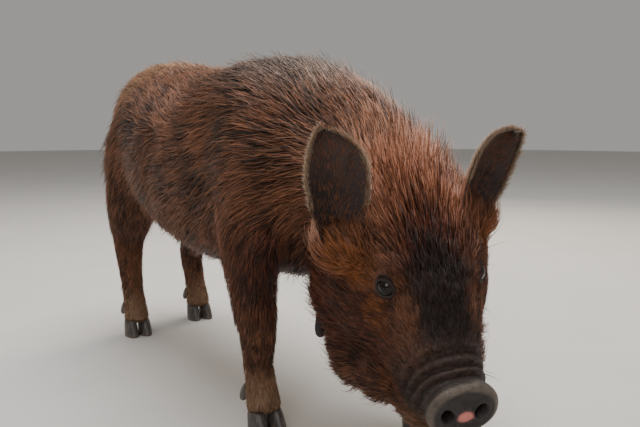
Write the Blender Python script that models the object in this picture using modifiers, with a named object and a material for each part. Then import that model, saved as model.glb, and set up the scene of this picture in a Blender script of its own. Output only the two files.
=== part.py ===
"""A young miniature pig as a life-size still model: it stands on four feet with its head lowered and turned.

Metres, +Z up. The pig faces +X, its left side is +Y, and the floor under its feet is Z = 0.
The body is lofted from named sizes, blended into one form and parted into nodes by thin cuts.
"""

import math

import bmesh
import bpy
import numpy as np
from mathutils import Euler, Matrix, Vector
from mathutils.bvhtree import BVHTree

# Driving sizes of the animal, to the skin
WHEELBASE = 0.39
BACK_HEIGHT = 0.346
BELLY_HEIGHT = 0.150
TRUNK_HALF_WIDTH = 0.089
GAP = 0.0003
CORE_SHARE = 0.45

# The head's own frame has its origin between the ears, +X to the snout and +Z out of the forehead
POLL = Vector((0.3498, -0.0136, 0.2369))
HEAD_TURN = math.radians(-14.0)
HEAD_DROP = math.radians(42.6)
HEAD_ROLL = math.radians(8.7)
HEAD = Matrix.Translation(POLL) @ Euler((HEAD_ROLL, HEAD_DROP, HEAD_TURN), "XYZ").to_matrix().to_4x4()
TASSEL = Vector((0.008, 0.0655, -0.130))
EYE = Vector((0.0655, 0.0335, -0.0238))
EYE_LOOK = (0.58, 0.70, 0.42)
EYE_RADIUS = 0.0085
LID_THICKNESS = 0.0024
EYE_OPENING = (0.0072, 0.0054)
SNOUT = Vector((0.1470, 0, -0.0620))
SNOUT_TILT = -0.38
SNOUT_HALF = (0.0258, 0.0216)
SNOUT_DEPTH = 0.014
NOSTRIL = (0.0088, 0.0045, 0.0062)

# Each ear: root in the head's frame, direction and facing in the body's frame
EAR_LENGTH = 0.0655
EAR_WIDTH = 0.0470
EAR_TIP_LEAN = 0.0115
EAR_ROOT = 0.022
EAR_CUP = 0.013
EAR_THICKNESS = 0.0028
FRINGE_TUFTS = 3
FRINGE_LENGTH = 0.009
BLADE_THICKNESS = 0.0022
EARS = {
    "ear_right": (Vector((0.0144, -0.0620, 0.0020)), Vector((-0.06, -0.01, 1.00)), Vector((0.93, -0.37, -0.10))),
    "ear_left": (Vector((0.0150, 0.0450, 0.0020)), Vector((-0.07, 0.48, 0.87)), Vector((0.98, 0.19, -0.10))),
}

# Swellings of the head that the ears' bases sit in, in the head's frame
EAR_BASES = {"right": (0.022, -0.057, -0.022), "left": (0.012, 0.046, -0.022)}

# Where each foot stands: the right forefoot and the left hindfoot are the ones left behind in the step
FEET = {
    "foreleg_right": Vector((WHEELBASE / 2 - 0.005, -0.061, 0)),
    "foreleg_left": Vector((WHEELBASE / 2 + 0.068, 0.066, 0)),
    "hindleg_right": Vector((-WHEELBASE / 2, -0.054, 0)),
    "hindleg_left": Vector((-WHEELBASE / 2 - 0.038, 0.052, 0)),
}
TAIL_TUFTS = 4
HOOF_HEIGHT = 0.021
HOOF_LENGTH = 0.033
HOOF_WIDTH = 0.0165
CLAW_SPREAD = 0.0094
DEWCLAW_LENGTH = 0.015

# Locks of the long coat: stations give how far along, how wide, how thick and how far risen
LOCK_WIDTH = 0.042
LOCK_THICKNESS = 0.0050
LOCK_ROOT = -0.0035
LOCK_SPACING = 0.0505
LOCK_STRETCH = 1.65
LOCK_SHORTEST = 0.0255
LOCK_TIP = 0.22
LOCK_SEED = 12
LOCK_STATIONS = ((0.0, 0.36, 1.0, 0.0), (0.36, 1.0, 0.8, 1.0), (0.72, 0.66, 0.6, 1.0))

RING_POINTS = 20
BODY_VOXEL = 0.0045
SKIN_VOXEL = 0.0030
CORE_VOXEL = 0.0036
CORE_FACES = 0.0172
CUTTER_SIZE = 1.0
PARTS = "miniature_pig"
CUTTERS = "cutters"

# The coat: where, which way it lies, how long it is and how steeply it stands, for the body and for the head
BODY_COAT = [
    ((0.17, 0.00, 0.35), (-1.0, 0.0, -0.02), 0.045, 22),
    ((0.00, 0.00, 0.35), (-1.0, 0.0, -0.02), 0.038, 18),
    ((-0.16, 0.00, 0.35), (-1.0, 0.0, -0.15), 0.036, 16),
    ((-0.25, 0.00, 0.27), (-0.3, 0.0, -1.0), 0.032, 15),
    ((0.14, 0.09, 0.27), (-0.9, 0.0, -0.45), 0.036, 14),
    ((0.02, 0.09, 0.25), (-0.95, 0.0, -0.3), 0.034, 14),
    ((-0.09, 0.09, 0.24), (-0.9, 0.0, -0.45), 0.033, 14),
    ((-0.18, 0.08, 0.27), (-0.6, 0.0, -0.7), 0.032, 14),
    ((0.02, 0.08, 0.17), (-0.8, 0.0, -0.6), 0.034, 16),
    ((0.00, 0.00, 0.15), (-0.9, 0.0, -0.3), 0.028, 18),
    ((0.25, 0.00, 0.19), (-0.5, 0.0, -1.0), 0.036, 18),
    ((0.19, 0.08, 0.17), (-0.3, 0.0, -1.0), 0.024, 12),
    ((0.20, 0.06, 0.08), (0.0, 0.0, -1.0), 0.012, 12),
    ((0.20, 0.06, 0.03), (0.0, 0.0, -1.0), 0.011, 15),
    ((-0.17, 0.08, 0.19), (-0.4, 0.0, -1.0), 0.024, 12),
    ((-0.22, 0.06, 0.11), (-0.2, 0.0, -1.0), 0.014, 12),
    ((-0.20, 0.055, 0.04), (0.0, 0.0, -1.0), 0.011, 14),
    ((0.25, 0.00, 0.31), (-0.9, 0.0, 0.4), 0.045, 26),
    ((0.25, 0.07, 0.24), (-0.9, 0.0, -0.3), 0.036, 16),
    ((0.27, 0.00, 0.15), (-0.5, 0.0, -0.8), 0.032, 20),
]
HEAD_COAT = [
    ((0.070, 0.000, 0.000), (-1.0, 0.0, 0.1), 0.026, 28),
    ((0.010, 0.000, 0.012), (-1.0, 0.0, 0.6), 0.044, 40),
    ((0.112, 0.000, -0.032), (-1.0, 0.0, 0.4), 0.009, 12),
    ((0.138, 0.026, -0.060), (-1.0, 0.2, -0.1), 0.007, 10),
    ((0.060, 0.060, -0.050), (-1.0, 0.2, -0.3), 0.022, 16),
    ((0.020, 0.065, -0.095), (-1.0, 0.2, -0.5), 0.030, 20),
    ((0.122, 0.000, -0.104), (-1.0, 0.0, -0.4), 0.012, 18),
    ((0.060, 0.000, -0.130), (-1.0, 0.0, -0.5), 0.026, 22),
    ((0.030, 0.060, -0.010), (-1.0, 0.3, 0.3), 0.024, 22),
    ((0.074, 0.043, -0.022), (-1.0, 0.2, 0.0), 0.009, 12),
]

# Locks that hang free at the throat and chest: root, direction, length and width
HANGING_LOCKS = [
    ((0.231, -0.053, 0.152), (-0.10, -0.15, -1.0), 0.052, 0.028),
    ((0.243, -0.042, 0.146), (-0.05, -0.15, -1.0), 0.046, 0.026),
    ((0.244, 0.000, 0.140), (-0.20, 0.00, -1.0), 0.044, 0.028),
    ((0.236, 0.036, 0.150), (-0.15, 0.20, -1.0), 0.040, 0.026),
]

# Bristles that stand between the ears, in the head's frame: rows of how far forward, how many and how wide a row
CREST_ROWS = ((0.044, 3, 0.050), (0.020, 4, 0.070), (-0.008, 3, 0.056))
CREST_LENGTH = 0.042
CREST_WIDTH = 0.024
CREST_LIFT = 27

COLOURS = {
    "coat": ((0.105, 0.042, 0.024), 0.75),
    "snout_skin": ((0.100, 0.070, 0.058), 0.50),
    "eye": ((0.012, 0.008, 0.007), 0.08),
    "hoof": ((0.045, 0.038, 0.034), 0.45),
    "ear_skin": ((0.070, 0.040, 0.034), 0.70),
}


def clear_scene():
    for obj in list(bpy.data.objects):
        bpy.data.objects.remove(obj)


def material(slot):
    found = bpy.data.materials.get(slot)
    if found:
        return found
    colour, roughness = COLOURS[slot]
    made = bpy.data.materials.new(slot)
    made.use_nodes = True
    shader = made.node_tree.nodes["Principled BSDF"]
    shader.inputs["Base Color"].default_value = (*colour, 1)
    shader.inputs["Roughness"].default_value = roughness
    return made


def collection(name):
    found = bpy.data.collections.get(name)
    if found:
        return found
    made = bpy.data.collections.new(name)
    bpy.context.scene.collection.children.link(made)
    return made


def add_object(name, mesh):
    """An object among the cutters and unfinished pieces, from where finish() takes the parts out."""
    obj = bpy.data.objects.new(name, mesh)
    collection(CUTTERS).objects.link(obj)
    return obj


def mesh_from_bmesh(name, shape):
    mesh = bpy.data.meshes.new(name)
    bmesh.ops.triangulate(shape, faces=shape.faces)
    bmesh.ops.recalc_face_normals(shape, faces=shape.faces)
    shape.to_mesh(mesh)
    shape.free()
    return add_object(name, mesh)


def between(rows, steps):
    """Rows of numbers with steps - 1 more between each two, on a Catmull-Rom curve."""
    filled = []
    for i in range(len(rows) - 1):
        before = rows[max(i - 1, 0)]
        after = rows[min(i + 2, len(rows) - 1)]
        for k in range(steps):
            t = k / steps
            filled.append([
                0.5 * (2 * b + (c - a) * t + (2 * a - 5 * b + 4 * c - d) * t * t
                       + (3 * b - a - 3 * c + d) * t ** 3)
                for a, b, c, d in zip(before, rows[i], rows[i + 1], after)
            ])
    filled.append(list(rows[-1]))
    return filled


def loft(name, rings, frame=Matrix.Identity(4), square=2.3, points=RING_POINTS):
    """A closed tube. Each ring is (centre, side vector, rise vector, drop vector): half sizes to each side."""
    shape = bmesh.new()
    loops = []
    for centre, side, rise, drop in rings:
        loop = []
        for k in range(points):
            angle = 2 * math.pi * k / points
            across = math.copysign(abs(math.cos(angle)) ** (2 / square), math.cos(angle))
            upward = abs(math.sin(angle)) ** (2 / square)
            reach = rise if math.sin(angle) >= 0 else drop
            loop.append(shape.verts.new(frame @ (centre + side * across + reach * upward)))
        loops.append(loop)
    for lower, upper in zip(loops, loops[1:]):
        for k in range(points):
            after = (k + 1) % points
            shape.faces.new((lower[k], lower[after], upper[after], upper[k]))
    for loop, turn in ((loops[0], -1), (loops[-1], 1)):
        middle = sum((v.co for v in loop), Vector()) / points
        pole = shape.verts.new(middle)
        for k in range(points):
            pair = (loop[k], loop[(k + 1) % points])
            shape.faces.new((*pair[::turn], pole))
    return mesh_from_bmesh(name, shape)


def stations(rows, steps=3):
    """Rings across the X axis from rows of (x, y of the middle, top, bottom, half width)."""
    rings = []
    for x, y, top, bottom, half_width in between(rows, steps):
        middle = (top + bottom) / 2
        height = (top - bottom) / 2
        rings.append((Vector((x, y, middle)), Vector((0, half_width, 0)), Vector((0, 0, height)),
                      Vector((0, 0, -height))))
    return rings


def limb(name, rows, steps=3, frame=Matrix.Identity(4), points=16):
    """A leg or tail from rows of (x, y, z, half length fore and aft, half width), square to its own path."""
    filled = between(rows, steps)
    path = [Vector(row[:3]) for row in filled]
    rings = []
    for i, row in enumerate(filled):
        along = (path[min(i + 1, len(path) - 1)] - path[max(i - 1, 0)]).normalized()
        side = along.cross(Vector((1, 0, 0))) if abs(along.x) < 0.8 else Vector((0, 1, 0))
        side = (side if side.y > 0 else -side).normalized()
        ahead = side.cross(along).normalized()
        rings.append((path[i], side * row[4], ahead * row[3], ahead * -row[3]))
    return loft(name, rings, frame, square=2.0, points=points)


def ball(name, centre, radii, frame=Matrix.Identity(4), turn=(0, 0, 0), points=24):
    shape = bmesh.new()
    bmesh.ops.create_uvsphere(shape, u_segments=points, v_segments=points // 2, radius=1)
    place = frame @ Matrix.Translation(centre) @ Euler(turn).to_matrix().to_4x4() @ Matrix.Diagonal((*radii, 1))
    bmesh.ops.transform(shape, matrix=place, verts=shape.verts)
    return mesh_from_bmesh(name, shape)


def block(name, place, size=CUTTER_SIZE):
    """A cube whose lower face lies in the XY plane of place."""
    shape = bmesh.new()
    bmesh.ops.create_cube(shape, size=size)
    bmesh.ops.translate(shape, verts=shape.verts, vec=(0, 0, size / 2))
    bmesh.ops.transform(shape, matrix=place, verts=shape.verts)
    return mesh_from_bmesh(name, shape)


def facing(point, normal):
    """The frame with its origin at point and +Z along normal."""
    return Matrix.Translation(point) @ Vector(normal).to_track_quat("Z", "Y").to_matrix().to_4x4()


def apply_modifiers(obj):
    graph = bpy.context.evaluated_depsgraph_get()
    graph.update()
    mesh = bpy.data.meshes.new_from_object(obj.evaluated_get(graph))
    obj.modifiers.clear()
    obj.data = mesh
    return obj


def join(name, objects):
    shape = bmesh.new()
    for obj in objects:
        shape.from_mesh(obj.data)
        bpy.data.objects.remove(obj)
    return mesh_from_bmesh(name, shape)


def blended(name, objects, voxel, smoothing):
    """One closed smooth form round overlapping ones."""
    obj = join(name, objects)
    remesh = obj.modifiers.new("remesh", "REMESH")
    remesh.mode = "VOXEL"
    remesh.voxel_size = voxel
    smooth = obj.modifiers.new("smooth", "SMOOTH")
    smooth.factor = 0.5
    smooth.iterations = smoothing
    return apply_modifiers(obj)


def thinned(obj, share):
    """Keeps that share of the faces, the flattest places losing most."""
    thin = obj.modifiers.new("thin", "DECIMATE")
    thin.ratio = share
    return apply_modifiers(obj)


def grown(obj, distance, name="grown"):
    """A copy of a closed mesh with its surface moved out by distance."""
    copy = add_object(name, obj.data.copy())
    grow = copy.modifiers.new("grow", "DISPLACE")
    grow.strength = distance
    grow.mid_level = 0
    return apply_modifiers(copy)


def boolean(obj, other, operation, keep=False, solver="MANIFOLD"):
    change = obj.modifiers.new("boolean", "BOOLEAN")
    change.object = other
    change.operation = operation
    change.solver = solver
    apply_modifiers(obj)
    if not keep:
        bpy.data.objects.remove(other)
    return obj


def copy_of(obj, name):
    return add_object(name, obj.data.copy())


def keep_largest(obj):
    """Keeps the largest closed surface, so that no scrap or sealed hollow stays."""
    shape = bmesh.new()
    shape.from_mesh(obj.data)
    bmesh.ops.triangulate(shape, faces=shape.faces)
    left = set(shape.faces)
    largest, largest_volume = set(), 0
    while left:
        island, waiting = set(), [left.pop()]
        while waiting:
            face = waiting.pop()
            island.add(face)
            for edge in face.edges:
                for other in edge.link_faces:
                    if other in left:
                        left.remove(other)
                        waiting.append(other)
        volume = sum(f.verts[0].co.dot(f.verts[1].co.cross(f.verts[2].co)) for f in island)
        if volume > largest_volume:
            largest, largest_volume = island, volume
    bmesh.ops.delete(shape, geom=[f for f in shape.faces if f not in largest], context="FACES")
    loose = [v for v in shape.verts if not v.link_faces]
    bmesh.ops.delete(shape, geom=loose, context="VERTS")
    shape.to_mesh(obj.data)
    shape.free()
    return obj


def finish(obj, slot):
    keep_largest(obj)
    collection(CUTTERS).objects.unlink(obj)
    collection(PARTS).objects.link(obj)
    obj.data.materials.clear()
    obj.data.materials.append(material(slot))
    obj.data.shade_smooth()
    obj.data.set_sharp_from_angle(angle=math.radians(40))
    return obj


def coat_guides():
    """Arrays of place, lie, length and lift in degrees for the whole coat, both sides, in the body's frame."""
    places, lies, sizes = [], [], []
    turn = HEAD.to_3x3()
    for rows, place, spin in ((BODY_COAT, Matrix.Identity(4), Matrix.Identity(3)), (HEAD_COAT, HEAD, turn)):
        for point, lie, length, lift in rows:
            for side in (1, -1):
                mirror = Vector((1, side, 1))
                places.append(place @ (Vector(point) * mirror))
                lies.append(spin @ (Vector(lie) * mirror))
                sizes.append((length, lift))
    return np.array(places), np.array(lies), np.array(sizes)


def coat_at(points, guides):
    """Lie, length and lift at each of the points, weighted by how near the guides are."""
    places, lies, sizes = guides
    far = ((points[:, None, :] - places[None]) ** 2).sum(2)
    weight = 1 / (far + 0.0001) ** 2
    weight /= weight.sum(1, keepdims=True)
    lie = weight @ lies
    lie /= np.linalg.norm(lie, axis=1, keepdims=True) + 1e-9
    size = weight @ sizes
    return lie, size[:, 0], size[:, 1]


def raised(obj, guides, share):
    """Moves the skin out to that share of its coat's depth."""
    mesh = obj.data
    count = len(mesh.vertices)
    points = np.empty(count * 3, np.float32)
    normals = np.empty(count * 3, np.float32)
    mesh.vertices.foreach_get("co", points)
    mesh.vertex_normals.foreach_get("vector", normals)
    points = points.reshape(-1, 3)
    normals = normals.reshape(-1, 3)
    _, length, lift = coat_at(points, guides)
    depth = length * np.sin(np.radians(lift)) * share
    mesh.vertices.foreach_set("co", (points + normals * depth[:, None]).ravel())
    mesh.update()
    return obj


def trunk():
    """Rump, loin, barrel, shoulder and chest, with the neck as far as the poll."""
    top, low, wide = BACK_HEIGHT, BELLY_HEIGHT, TRUNK_HALF_WIDTH
    body = loft("trunk", stations([
        (-0.252, 0, top - 0.062, low + 0.085, 0.026),
        (-0.242, 0, top - 0.026, low + 0.058, 0.050),
        (-0.209, 0, top + 0.006, low + 0.034, 0.070),
        (-0.150, 0, top + 0.014, low + 0.018, 0.080),
        (-0.070, 0, top + 0.002, low - 0.002, wide),
        (0.020, 0, top - 0.004, low - 0.012, wide + 0.004),
        (0.100, 0, top + 0.002, low - 0.010, wide - 0.001),
        (0.170, 0, top - 0.001, low - 0.005, wide - 0.010),
        (0.225, 0, top - 0.024, low + 0.006, 0.066),
        (0.256, 0, top - 0.060, low + 0.030, 0.048),
    ]))
    neck = limb("neck", [
        (0.170, 0.000, 0.248, 0.092, 0.074),
        (0.225, 0.000, 0.241, 0.083, 0.065),
        (0.270, 0.002, 0.225, 0.071, 0.055),
        (0.310, 0.003, 0.206, 0.060, 0.052),
        (0.342, -0.006, 0.188, 0.048, 0.046),
    ])
    return [body, neck]


def foreleg_rows(name):
    """Path of one foreleg from the hoof to the shoulder: x, y, z, half length fore and aft, half width."""
    foot = FEET[name]
    side = math.copysign(1, foot.y)
    ahead = foot.x - WHEELBASE / 2
    top = WHEELBASE / 2 + 0.45 * ahead
    return [
        (foot.x + 0.004, foot.y, HOOF_HEIGHT - 0.004, 0.0165, 0.0180),
        (foot.x + 0.000, foot.y, 0.034, 0.0150, 0.0155),
        (foot.x - 0.004, foot.y + 0.002 * side, 0.062, 0.0145, 0.0135),
        (foot.x - 0.002 - 0.2 * ahead, foot.y + 0.004 * side, 0.094, 0.0190, 0.0165),
        (top - 0.008, foot.y + 0.007 * side, 0.135, 0.0250, 0.0195),
        (top - 0.012, foot.y + 0.008 * side, 0.175, 0.0380, 0.0230),
        (top - 0.018, foot.y + 0.002 * side, 0.225, 0.0460, 0.0250),
    ]


def hindleg_rows(name):
    """Path of one hindleg from the hoof to the ham: x, y, z, half length fore and aft, half width."""
    foot = FEET[name]
    side = math.copysign(1, foot.y)
    hip = -WHEELBASE / 2 + 0.3 * (foot.x + WHEELBASE / 2)
    return [
        (foot.x + 0.006, foot.y, HOOF_HEIGHT - 0.004, 0.0165, 0.0180),
        (foot.x + 0.000, foot.y, 0.034, 0.0150, 0.0152),
        (foot.x - 0.010, foot.y, 0.064, 0.0150, 0.0135),
        (foot.x - 0.019, foot.y, 0.098, 0.0200, 0.0150),
        (hip - 0.012, foot.y + 0.003 * side, 0.136, 0.0260, 0.0200),
        (hip + 0.006, foot.y + 0.005 * side, 0.172, 0.0420, 0.0270),
        (hip + 0.014, foot.y + 0.002 * side, 0.225, 0.0540, 0.0300),
    ]


def leg_rows(name):
    return foreleg_rows(name) if name.startswith("fore") else hindleg_rows(name)


def leg(name):
    """One leg with the muscle that carries it into the trunk."""
    rows = leg_rows(name)
    top_x = rows[-1][0]
    side = math.copysign(1, rows[0][1])
    if name.startswith("fore"):
        muscle = ball(name + "_shoulder", (top_x - 0.004, 0.056 * side, 0.236), (0.054, 0.034, 0.078),
                      turn=(0, -0.3, 0))
    else:
        muscle = ball(name + "_ham", (top_x - 0.002, 0.048 * side, 0.232), (0.064, 0.037, 0.078), turn=(0, 0.25, 0))
    return [limb(name, rows), muscle]


def skull():
    """The head in its own frame, from the poll to the root of the snout."""
    pieces = [
        loft("skull", stations([
            (-0.060, 0, -0.020, -0.112, 0.048),
            (-0.030, 0, 0.000, -0.128, 0.060),
            (0.005, 0, 0.007, -0.137, 0.0650),
            (0.038, 0, 0.005, -0.138, 0.0610),
            (0.064, 0, 0.000, -0.136, 0.0490),
            (0.081, 0, -0.006, -0.133, 0.0415),
            (0.099, 0, -0.020, -0.125, 0.0355),
            (0.119, 0, -0.038, -0.112, 0.0295),
            (0.134, 0, -0.041, -0.100, 0.0262),
            (0.148, 0, -0.0405, -0.084, 0.0245),
        ]), HEAD, square=2.2),
    ]
    for side in (-1, 1):
        tag = "left" if side > 0 else "right"
        pieces += [
            ball("brow_" + tag, (0.056, 0.029 * side, -0.010), (0.025, 0.014, 0.010), HEAD, (0, 0.25, 0.15 * side)),
            ball("orbit_" + tag, (0.064, 0.029 * side, -0.028), (0.025, 0.0130, 0.020), HEAD, (0, 0, -0.35 * side)),
            ball("cheek_" + tag, (0.026, 0.0385 * side, -0.078), (0.050, 0.025, 0.048), HEAD),
            ball("jaw_" + tag, (0.030, 0.039 * side, -0.117), (0.060, 0.026, 0.029), HEAD, (0, -0.1, -0.28 * side)),
            ball("jowl_" + tag, (0.038, 0.0355 * side, -0.117), (0.056, 0.030, 0.030), HEAD, (0, 0.78, 0.26 * side)),
            ball("ear_base_" + tag, EAR_BASES[tag], (0.024, 0.023, 0.020), HEAD),
            ball("lip_" + tag, (0.122, 0.018 * side, -0.079), (0.029, 0.0125, 0.016), HEAD),
        ]
    for side in (-1, 1):
        pieces.append(ball("mandible", (0.080, 0.034 * side, -0.116), (0.030, 0.020, 0.022), HEAD, (0, 0.3, 0)))
    pieces.append(ball("chin", (0.098, 0, -0.112), (0.050, 0.035, 0.0205), HEAD))
    return pieces


def build_skin():
    """Trunk, neck, legs and head as one smooth closed form at the skin."""
    pieces = trunk()
    for name in FEET:
        pieces += leg(name)
    body = blended("body", pieces, BODY_VOXEL, 10)
    return blended("skin", [body, *skull()], SKIN_VOXEL, 5)


def ear_frame(name):
    """An ear's length direction, facing, width direction, hidden base and whole length."""
    root, along, front = EARS[name]
    along = along.normalized()
    front = (front - along * front.dot(along)).normalized()
    return along, front, along.cross(front).normalized(), HEAD @ root - along * EAR_ROOT, EAR_LENGTH + EAR_ROOT


def ear_half_width(t):
    """Half the ear's width at t, from 0 at its base to 1 at its tip."""
    return EAR_WIDTH / 2 * (0.46 + 1.45 * t - 1.0 * t * t) * max(1 - t ** 5, 0) ** 0.8 + 0.0015


def ear_middle(name, t):
    """How far the ear's middle line leans outwards at t along it, most at the tip."""
    return EAR_TIP_LEAN * t ** 7 * (1 if name == "ear_left" else -1)


def ear_bend(t, s):
    """How far the ear's middle sheet stands forward at t along it and s across it, -1 to 1."""
    return EAR_CUP * (1.1 - 0.6 * t) * (s * s - 0.5) + 0.010 * t * t


def ear(name):
    """A cupped leaf-shaped ear, a sheet with a front and a back that meet at its edge."""
    along, front, side, base, length = ear_frame(name)
    rows, columns = 8, 6
    shape = bmesh.new()
    rims = {}
    sheets = []
    for face in (1, -1):
        sheet = []
        for i in range(rows + 1):
            t = (i / rows) ** 0.75
            line = []
            for j in range(columns + 1):
                s = -1 + 2 * j / columns
                thick = EAR_THICKNESS / 2 * (1.6 - 0.9 * t) * math.sqrt(max(1 - s * s, 0))
                place = base + along * (length * t) + side * (ear_middle(name, t) + ear_half_width(t) * s)
                place += front * (ear_bend(t, s) + face * thick)
                if abs(s) < 1:
                    line.append(shape.verts.new(place))
                    continue
                if (i, j) not in rims:
                    rims[i, j] = shape.verts.new(place)
                line.append(rims[i, j])
            sheet.append(line)
        sheets.append(sheet)
    for sheet, order in zip(sheets, (1, -1)):
        for i in range(rows):
            for j in range(columns):
                corners = (sheet[i][j], sheet[i][j + 1], sheet[i + 1][j + 1], sheet[i + 1][j])
                shape.faces.new(corners[::order])
    before, behind = sheets
    for i in (0, rows):
        for j in range(columns):
            ring = [before[i][j], before[i][j + 1], behind[i][j + 1], behind[i][j]]
            shape.faces.new(list(dict.fromkeys(ring)))
    return mesh_from_bmesh(name, shape)


def snout(name="snout"):
    """The disc at the end of the nose: a soft rim round a slightly hollow face with two nostrils."""
    wide, high = SNOUT_HALF
    tilt = Matrix.Translation(SNOUT) @ Matrix.Rotation(SNOUT_TILT, 4, "Y")
    rows = [
        (-0.006, 0.92), (0.000, 0.96), (0.005, 1.04), (0.009, 1.05), (0.012, 0.99), (SNOUT_DEPTH, 0.88),
        (SNOUT_DEPTH - 0.0006, 0.74), (SNOUT_DEPTH - 0.0012, 0.45), (SNOUT_DEPTH - 0.0008, 0.15),
    ]
    rings = []
    for x, size in rows:
        rings.append((Vector((x, 0, 0)), Vector((0, wide * size, 0)), Vector((0, 0, high * size)),
                      Vector((0, 0, -high * size * 0.94))))
    disc = loft(name, rings, HEAD @ tilt, square=2.15, points=18)
    for side in (-1, 1):
        hole = ball("nostril", (SNOUT_DEPTH, 0.0125 * side, -0.0010), NOSTRIL, HEAD @ tilt, (0.35 * side, 0, 0), 10)
        boolean(disc, hole, "DIFFERENCE")
    return disc


def eye_frame(side):
    """The eye's centre, with +X looking out of the head."""
    centre = Vector((EYE.x, EYE.y * side, EYE.z))
    out = Vector(EYE_LOOK) * Vector((1, side, 1))
    return HEAD @ Matrix.Translation(centre) @ out.to_track_quat("X", "Z").to_matrix().to_4x4()


def claw(name, foot, side, big=True):
    """One half of a hoof, or the small claw behind it, with a flat sole on the floor."""
    if big:
        rows = [
            (0.0000, 0.0020, 1.00, 1.00),
            (0.0035, 0.0018, 1.01, 1.02),
            (0.0110, 0.0000, 0.92, 0.98),
            (HOOF_HEIGHT - 0.003, -0.0022, 0.80, 0.90),
            (HOOF_HEIGHT, -0.0028, 0.70, 0.78),
        ]
        rings = []
        for z, shift, long, wide in rows:
            centre = Vector((foot.x + 0.006 + shift, foot.y + CLAW_SPREAD * side * (0.94 + 0.06 * wide), z))
            rings.append((centre, Vector((0, HOOF_WIDTH / 2 * wide, 0)), Vector((HOOF_LENGTH / 2 * long, 0, 0)),
                          Vector((-HOOF_LENGTH / 2 * 0.8 * long, 0, 0))))
        made = loft(name, rings, square=1.9, points=10)
    else:
        root = Vector((foot.x - 0.012, foot.y + 0.0095 * side, 0.040))
        tip = root + Vector((-0.009, 0.002 * side, -DEWCLAW_LENGTH))
        rows = []
        for t, size in ((0, 0.0050), (0.35, 0.0056), (0.75, 0.0044), (1, 0.0020)):
            rows.append((*(root.lerp(tip, t)), size, size * 0.85))
        made = limb(name, rows, 1, points=6)
    return made


def tail(name="tail"):
    """A short tail, hanging with a slight curl."""
    return limb(name, [
        (-0.250, 0.000, 0.296, 0.0120, 0.0120),
        (-0.268, 0.002, 0.286, 0.0105, 0.0105),
        (-0.281, 0.006, 0.264, 0.0090, 0.0090),
        (-0.282, 0.011, 0.238, 0.0078, 0.0078),
        (-0.275, 0.014, 0.214, 0.0085, 0.0090),
        (-0.268, 0.012, 0.196, 0.0070, 0.0075),
        (-0.264, 0.008, 0.180, 0.0020, 0.0020),
    ], 2, points=10)


def tassel(name, side):
    """A small fleshy tassel hanging from the jowl."""
    root = HEAD @ Vector((TASSEL.x, TASSEL.y * side, TASSEL.z))
    rows = []
    for drop, size in ((-0.010, 0.0034), (0.000, 0.0036), (0.010, 0.0042), (0.019, 0.0052), (0.0250, 0.0044),
                       (0.0280, 0.0018)):
        rows.append((root.x, root.y, root.z - drop, size, size))
    return limb(name, rows, 1, points=10)


def blade(name, root, lean, normal, length, width):
    """A flat hair tuft that bends a little as it tapers to its tip."""
    shape = bmesh.new()
    lean = lean.normalized()
    side = normal.cross(lean).normalized()
    loops = []
    for along, wide, thick in ((0.0, 1.0, 1.0), (0.5, 0.82, 0.8)):
        centre = root + lean * (length * along) + normal * (length * 0.12 * along)
        loops.append([shape.verts.new(centre + d) for d in (
            side * width / 2 * wide, normal * BLADE_THICKNESS / 2 * thick,
            side * width / -2 * wide, normal * BLADE_THICKNESS / -2 * thick)])
    tip = shape.verts.new(root + lean * length)
    shape.faces.new(loops[0])
    for k in range(4):
        after = (k + 1) % 4
        shape.faces.new((loops[0][k], loops[0][after], loops[1][after], loops[1][k]))
        shape.faces.new((loops[1][k], loops[1][after], tip))
    return mesh_from_bmesh(name, shape)


def united(obj, pieces):
    """One union of a closed mesh with a list of others, which are then removed."""
    group = collection("pieces")
    for piece in pieces:
        collection(CUTTERS).objects.unlink(piece)
        group.objects.link(piece)
    union = obj.modifiers.new("union", "BOOLEAN")
    union.operation = "UNION"
    union.operand_type = "COLLECTION"
    union.collection = group
    union.solver = "MANIFOLD"
    apply_modifiers(obj)
    for piece in pieces:
        bpy.data.objects.remove(piece)
    bpy.data.collections.remove(group)
    return obj


def ear_fringe(name):
    """Hair tufts along both edges of an ear and over its tip, rooted inside the rim."""
    along, front, side, base, length = ear_frame(name)
    tufts = []
    for k in range(-FRINGE_TUFTS, FRINGE_TUFTS + 1):
        s = 1 if k >= 0 else -1
        t = 0.97 - 0.60 * (abs(k) / FRINGE_TUFTS) ** 1.2
        place = base + along * (length * t) + side * (ear_middle(name, t) + ear_half_width(t) * s - 0.002 * s)
        place += front * (ear_bend(t, s) * 0.9)
        if k == 0:
            place = base + along * (length * 0.97) + side * ear_middle(name, 0.97)
            place += front * ear_bend(0.97, 0)
        lean = along * 0.75 + side * (0.75 * k / FRINGE_TUFTS)
        tufts.append(blade(f"tuft_{k}", place, lean, front, FRINGE_LENGTH, 0.011))
    return tufts


def leg_cell(name):
    """The space that parts one leg from the trunk: wide round the leg, closed by a dome in the shoulder or ham."""
    rows = []
    side = math.copysign(1, FEET[name].y)
    for x, y, z, long, _ in leg_rows(name):
        rise = min(max((z - 0.03) / 0.15, 0), 1)
        spread = 0.040 + 0.024 * rise
        rows.append((x, side * (0.056 + 0.042 * rise), z, max(long * 1.25, 0.044), spread))
    x, y, _, long, wide = rows[-1]
    rows.insert(0, (rows[0][0], rows[0][1], -0.03, rows[0][3], rows[0][4]))
    rows.append((x - 0.004, y, 0.258, long * 0.86, wide * 0.86))
    rows.append((x - 0.006, y, 0.280, long * 0.50, wide * 0.50))
    rows.append((x - 0.006, y, 0.286, long * 0.15, wide * 0.15))
    return limb("cell", rows, 1, points=12)


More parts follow.
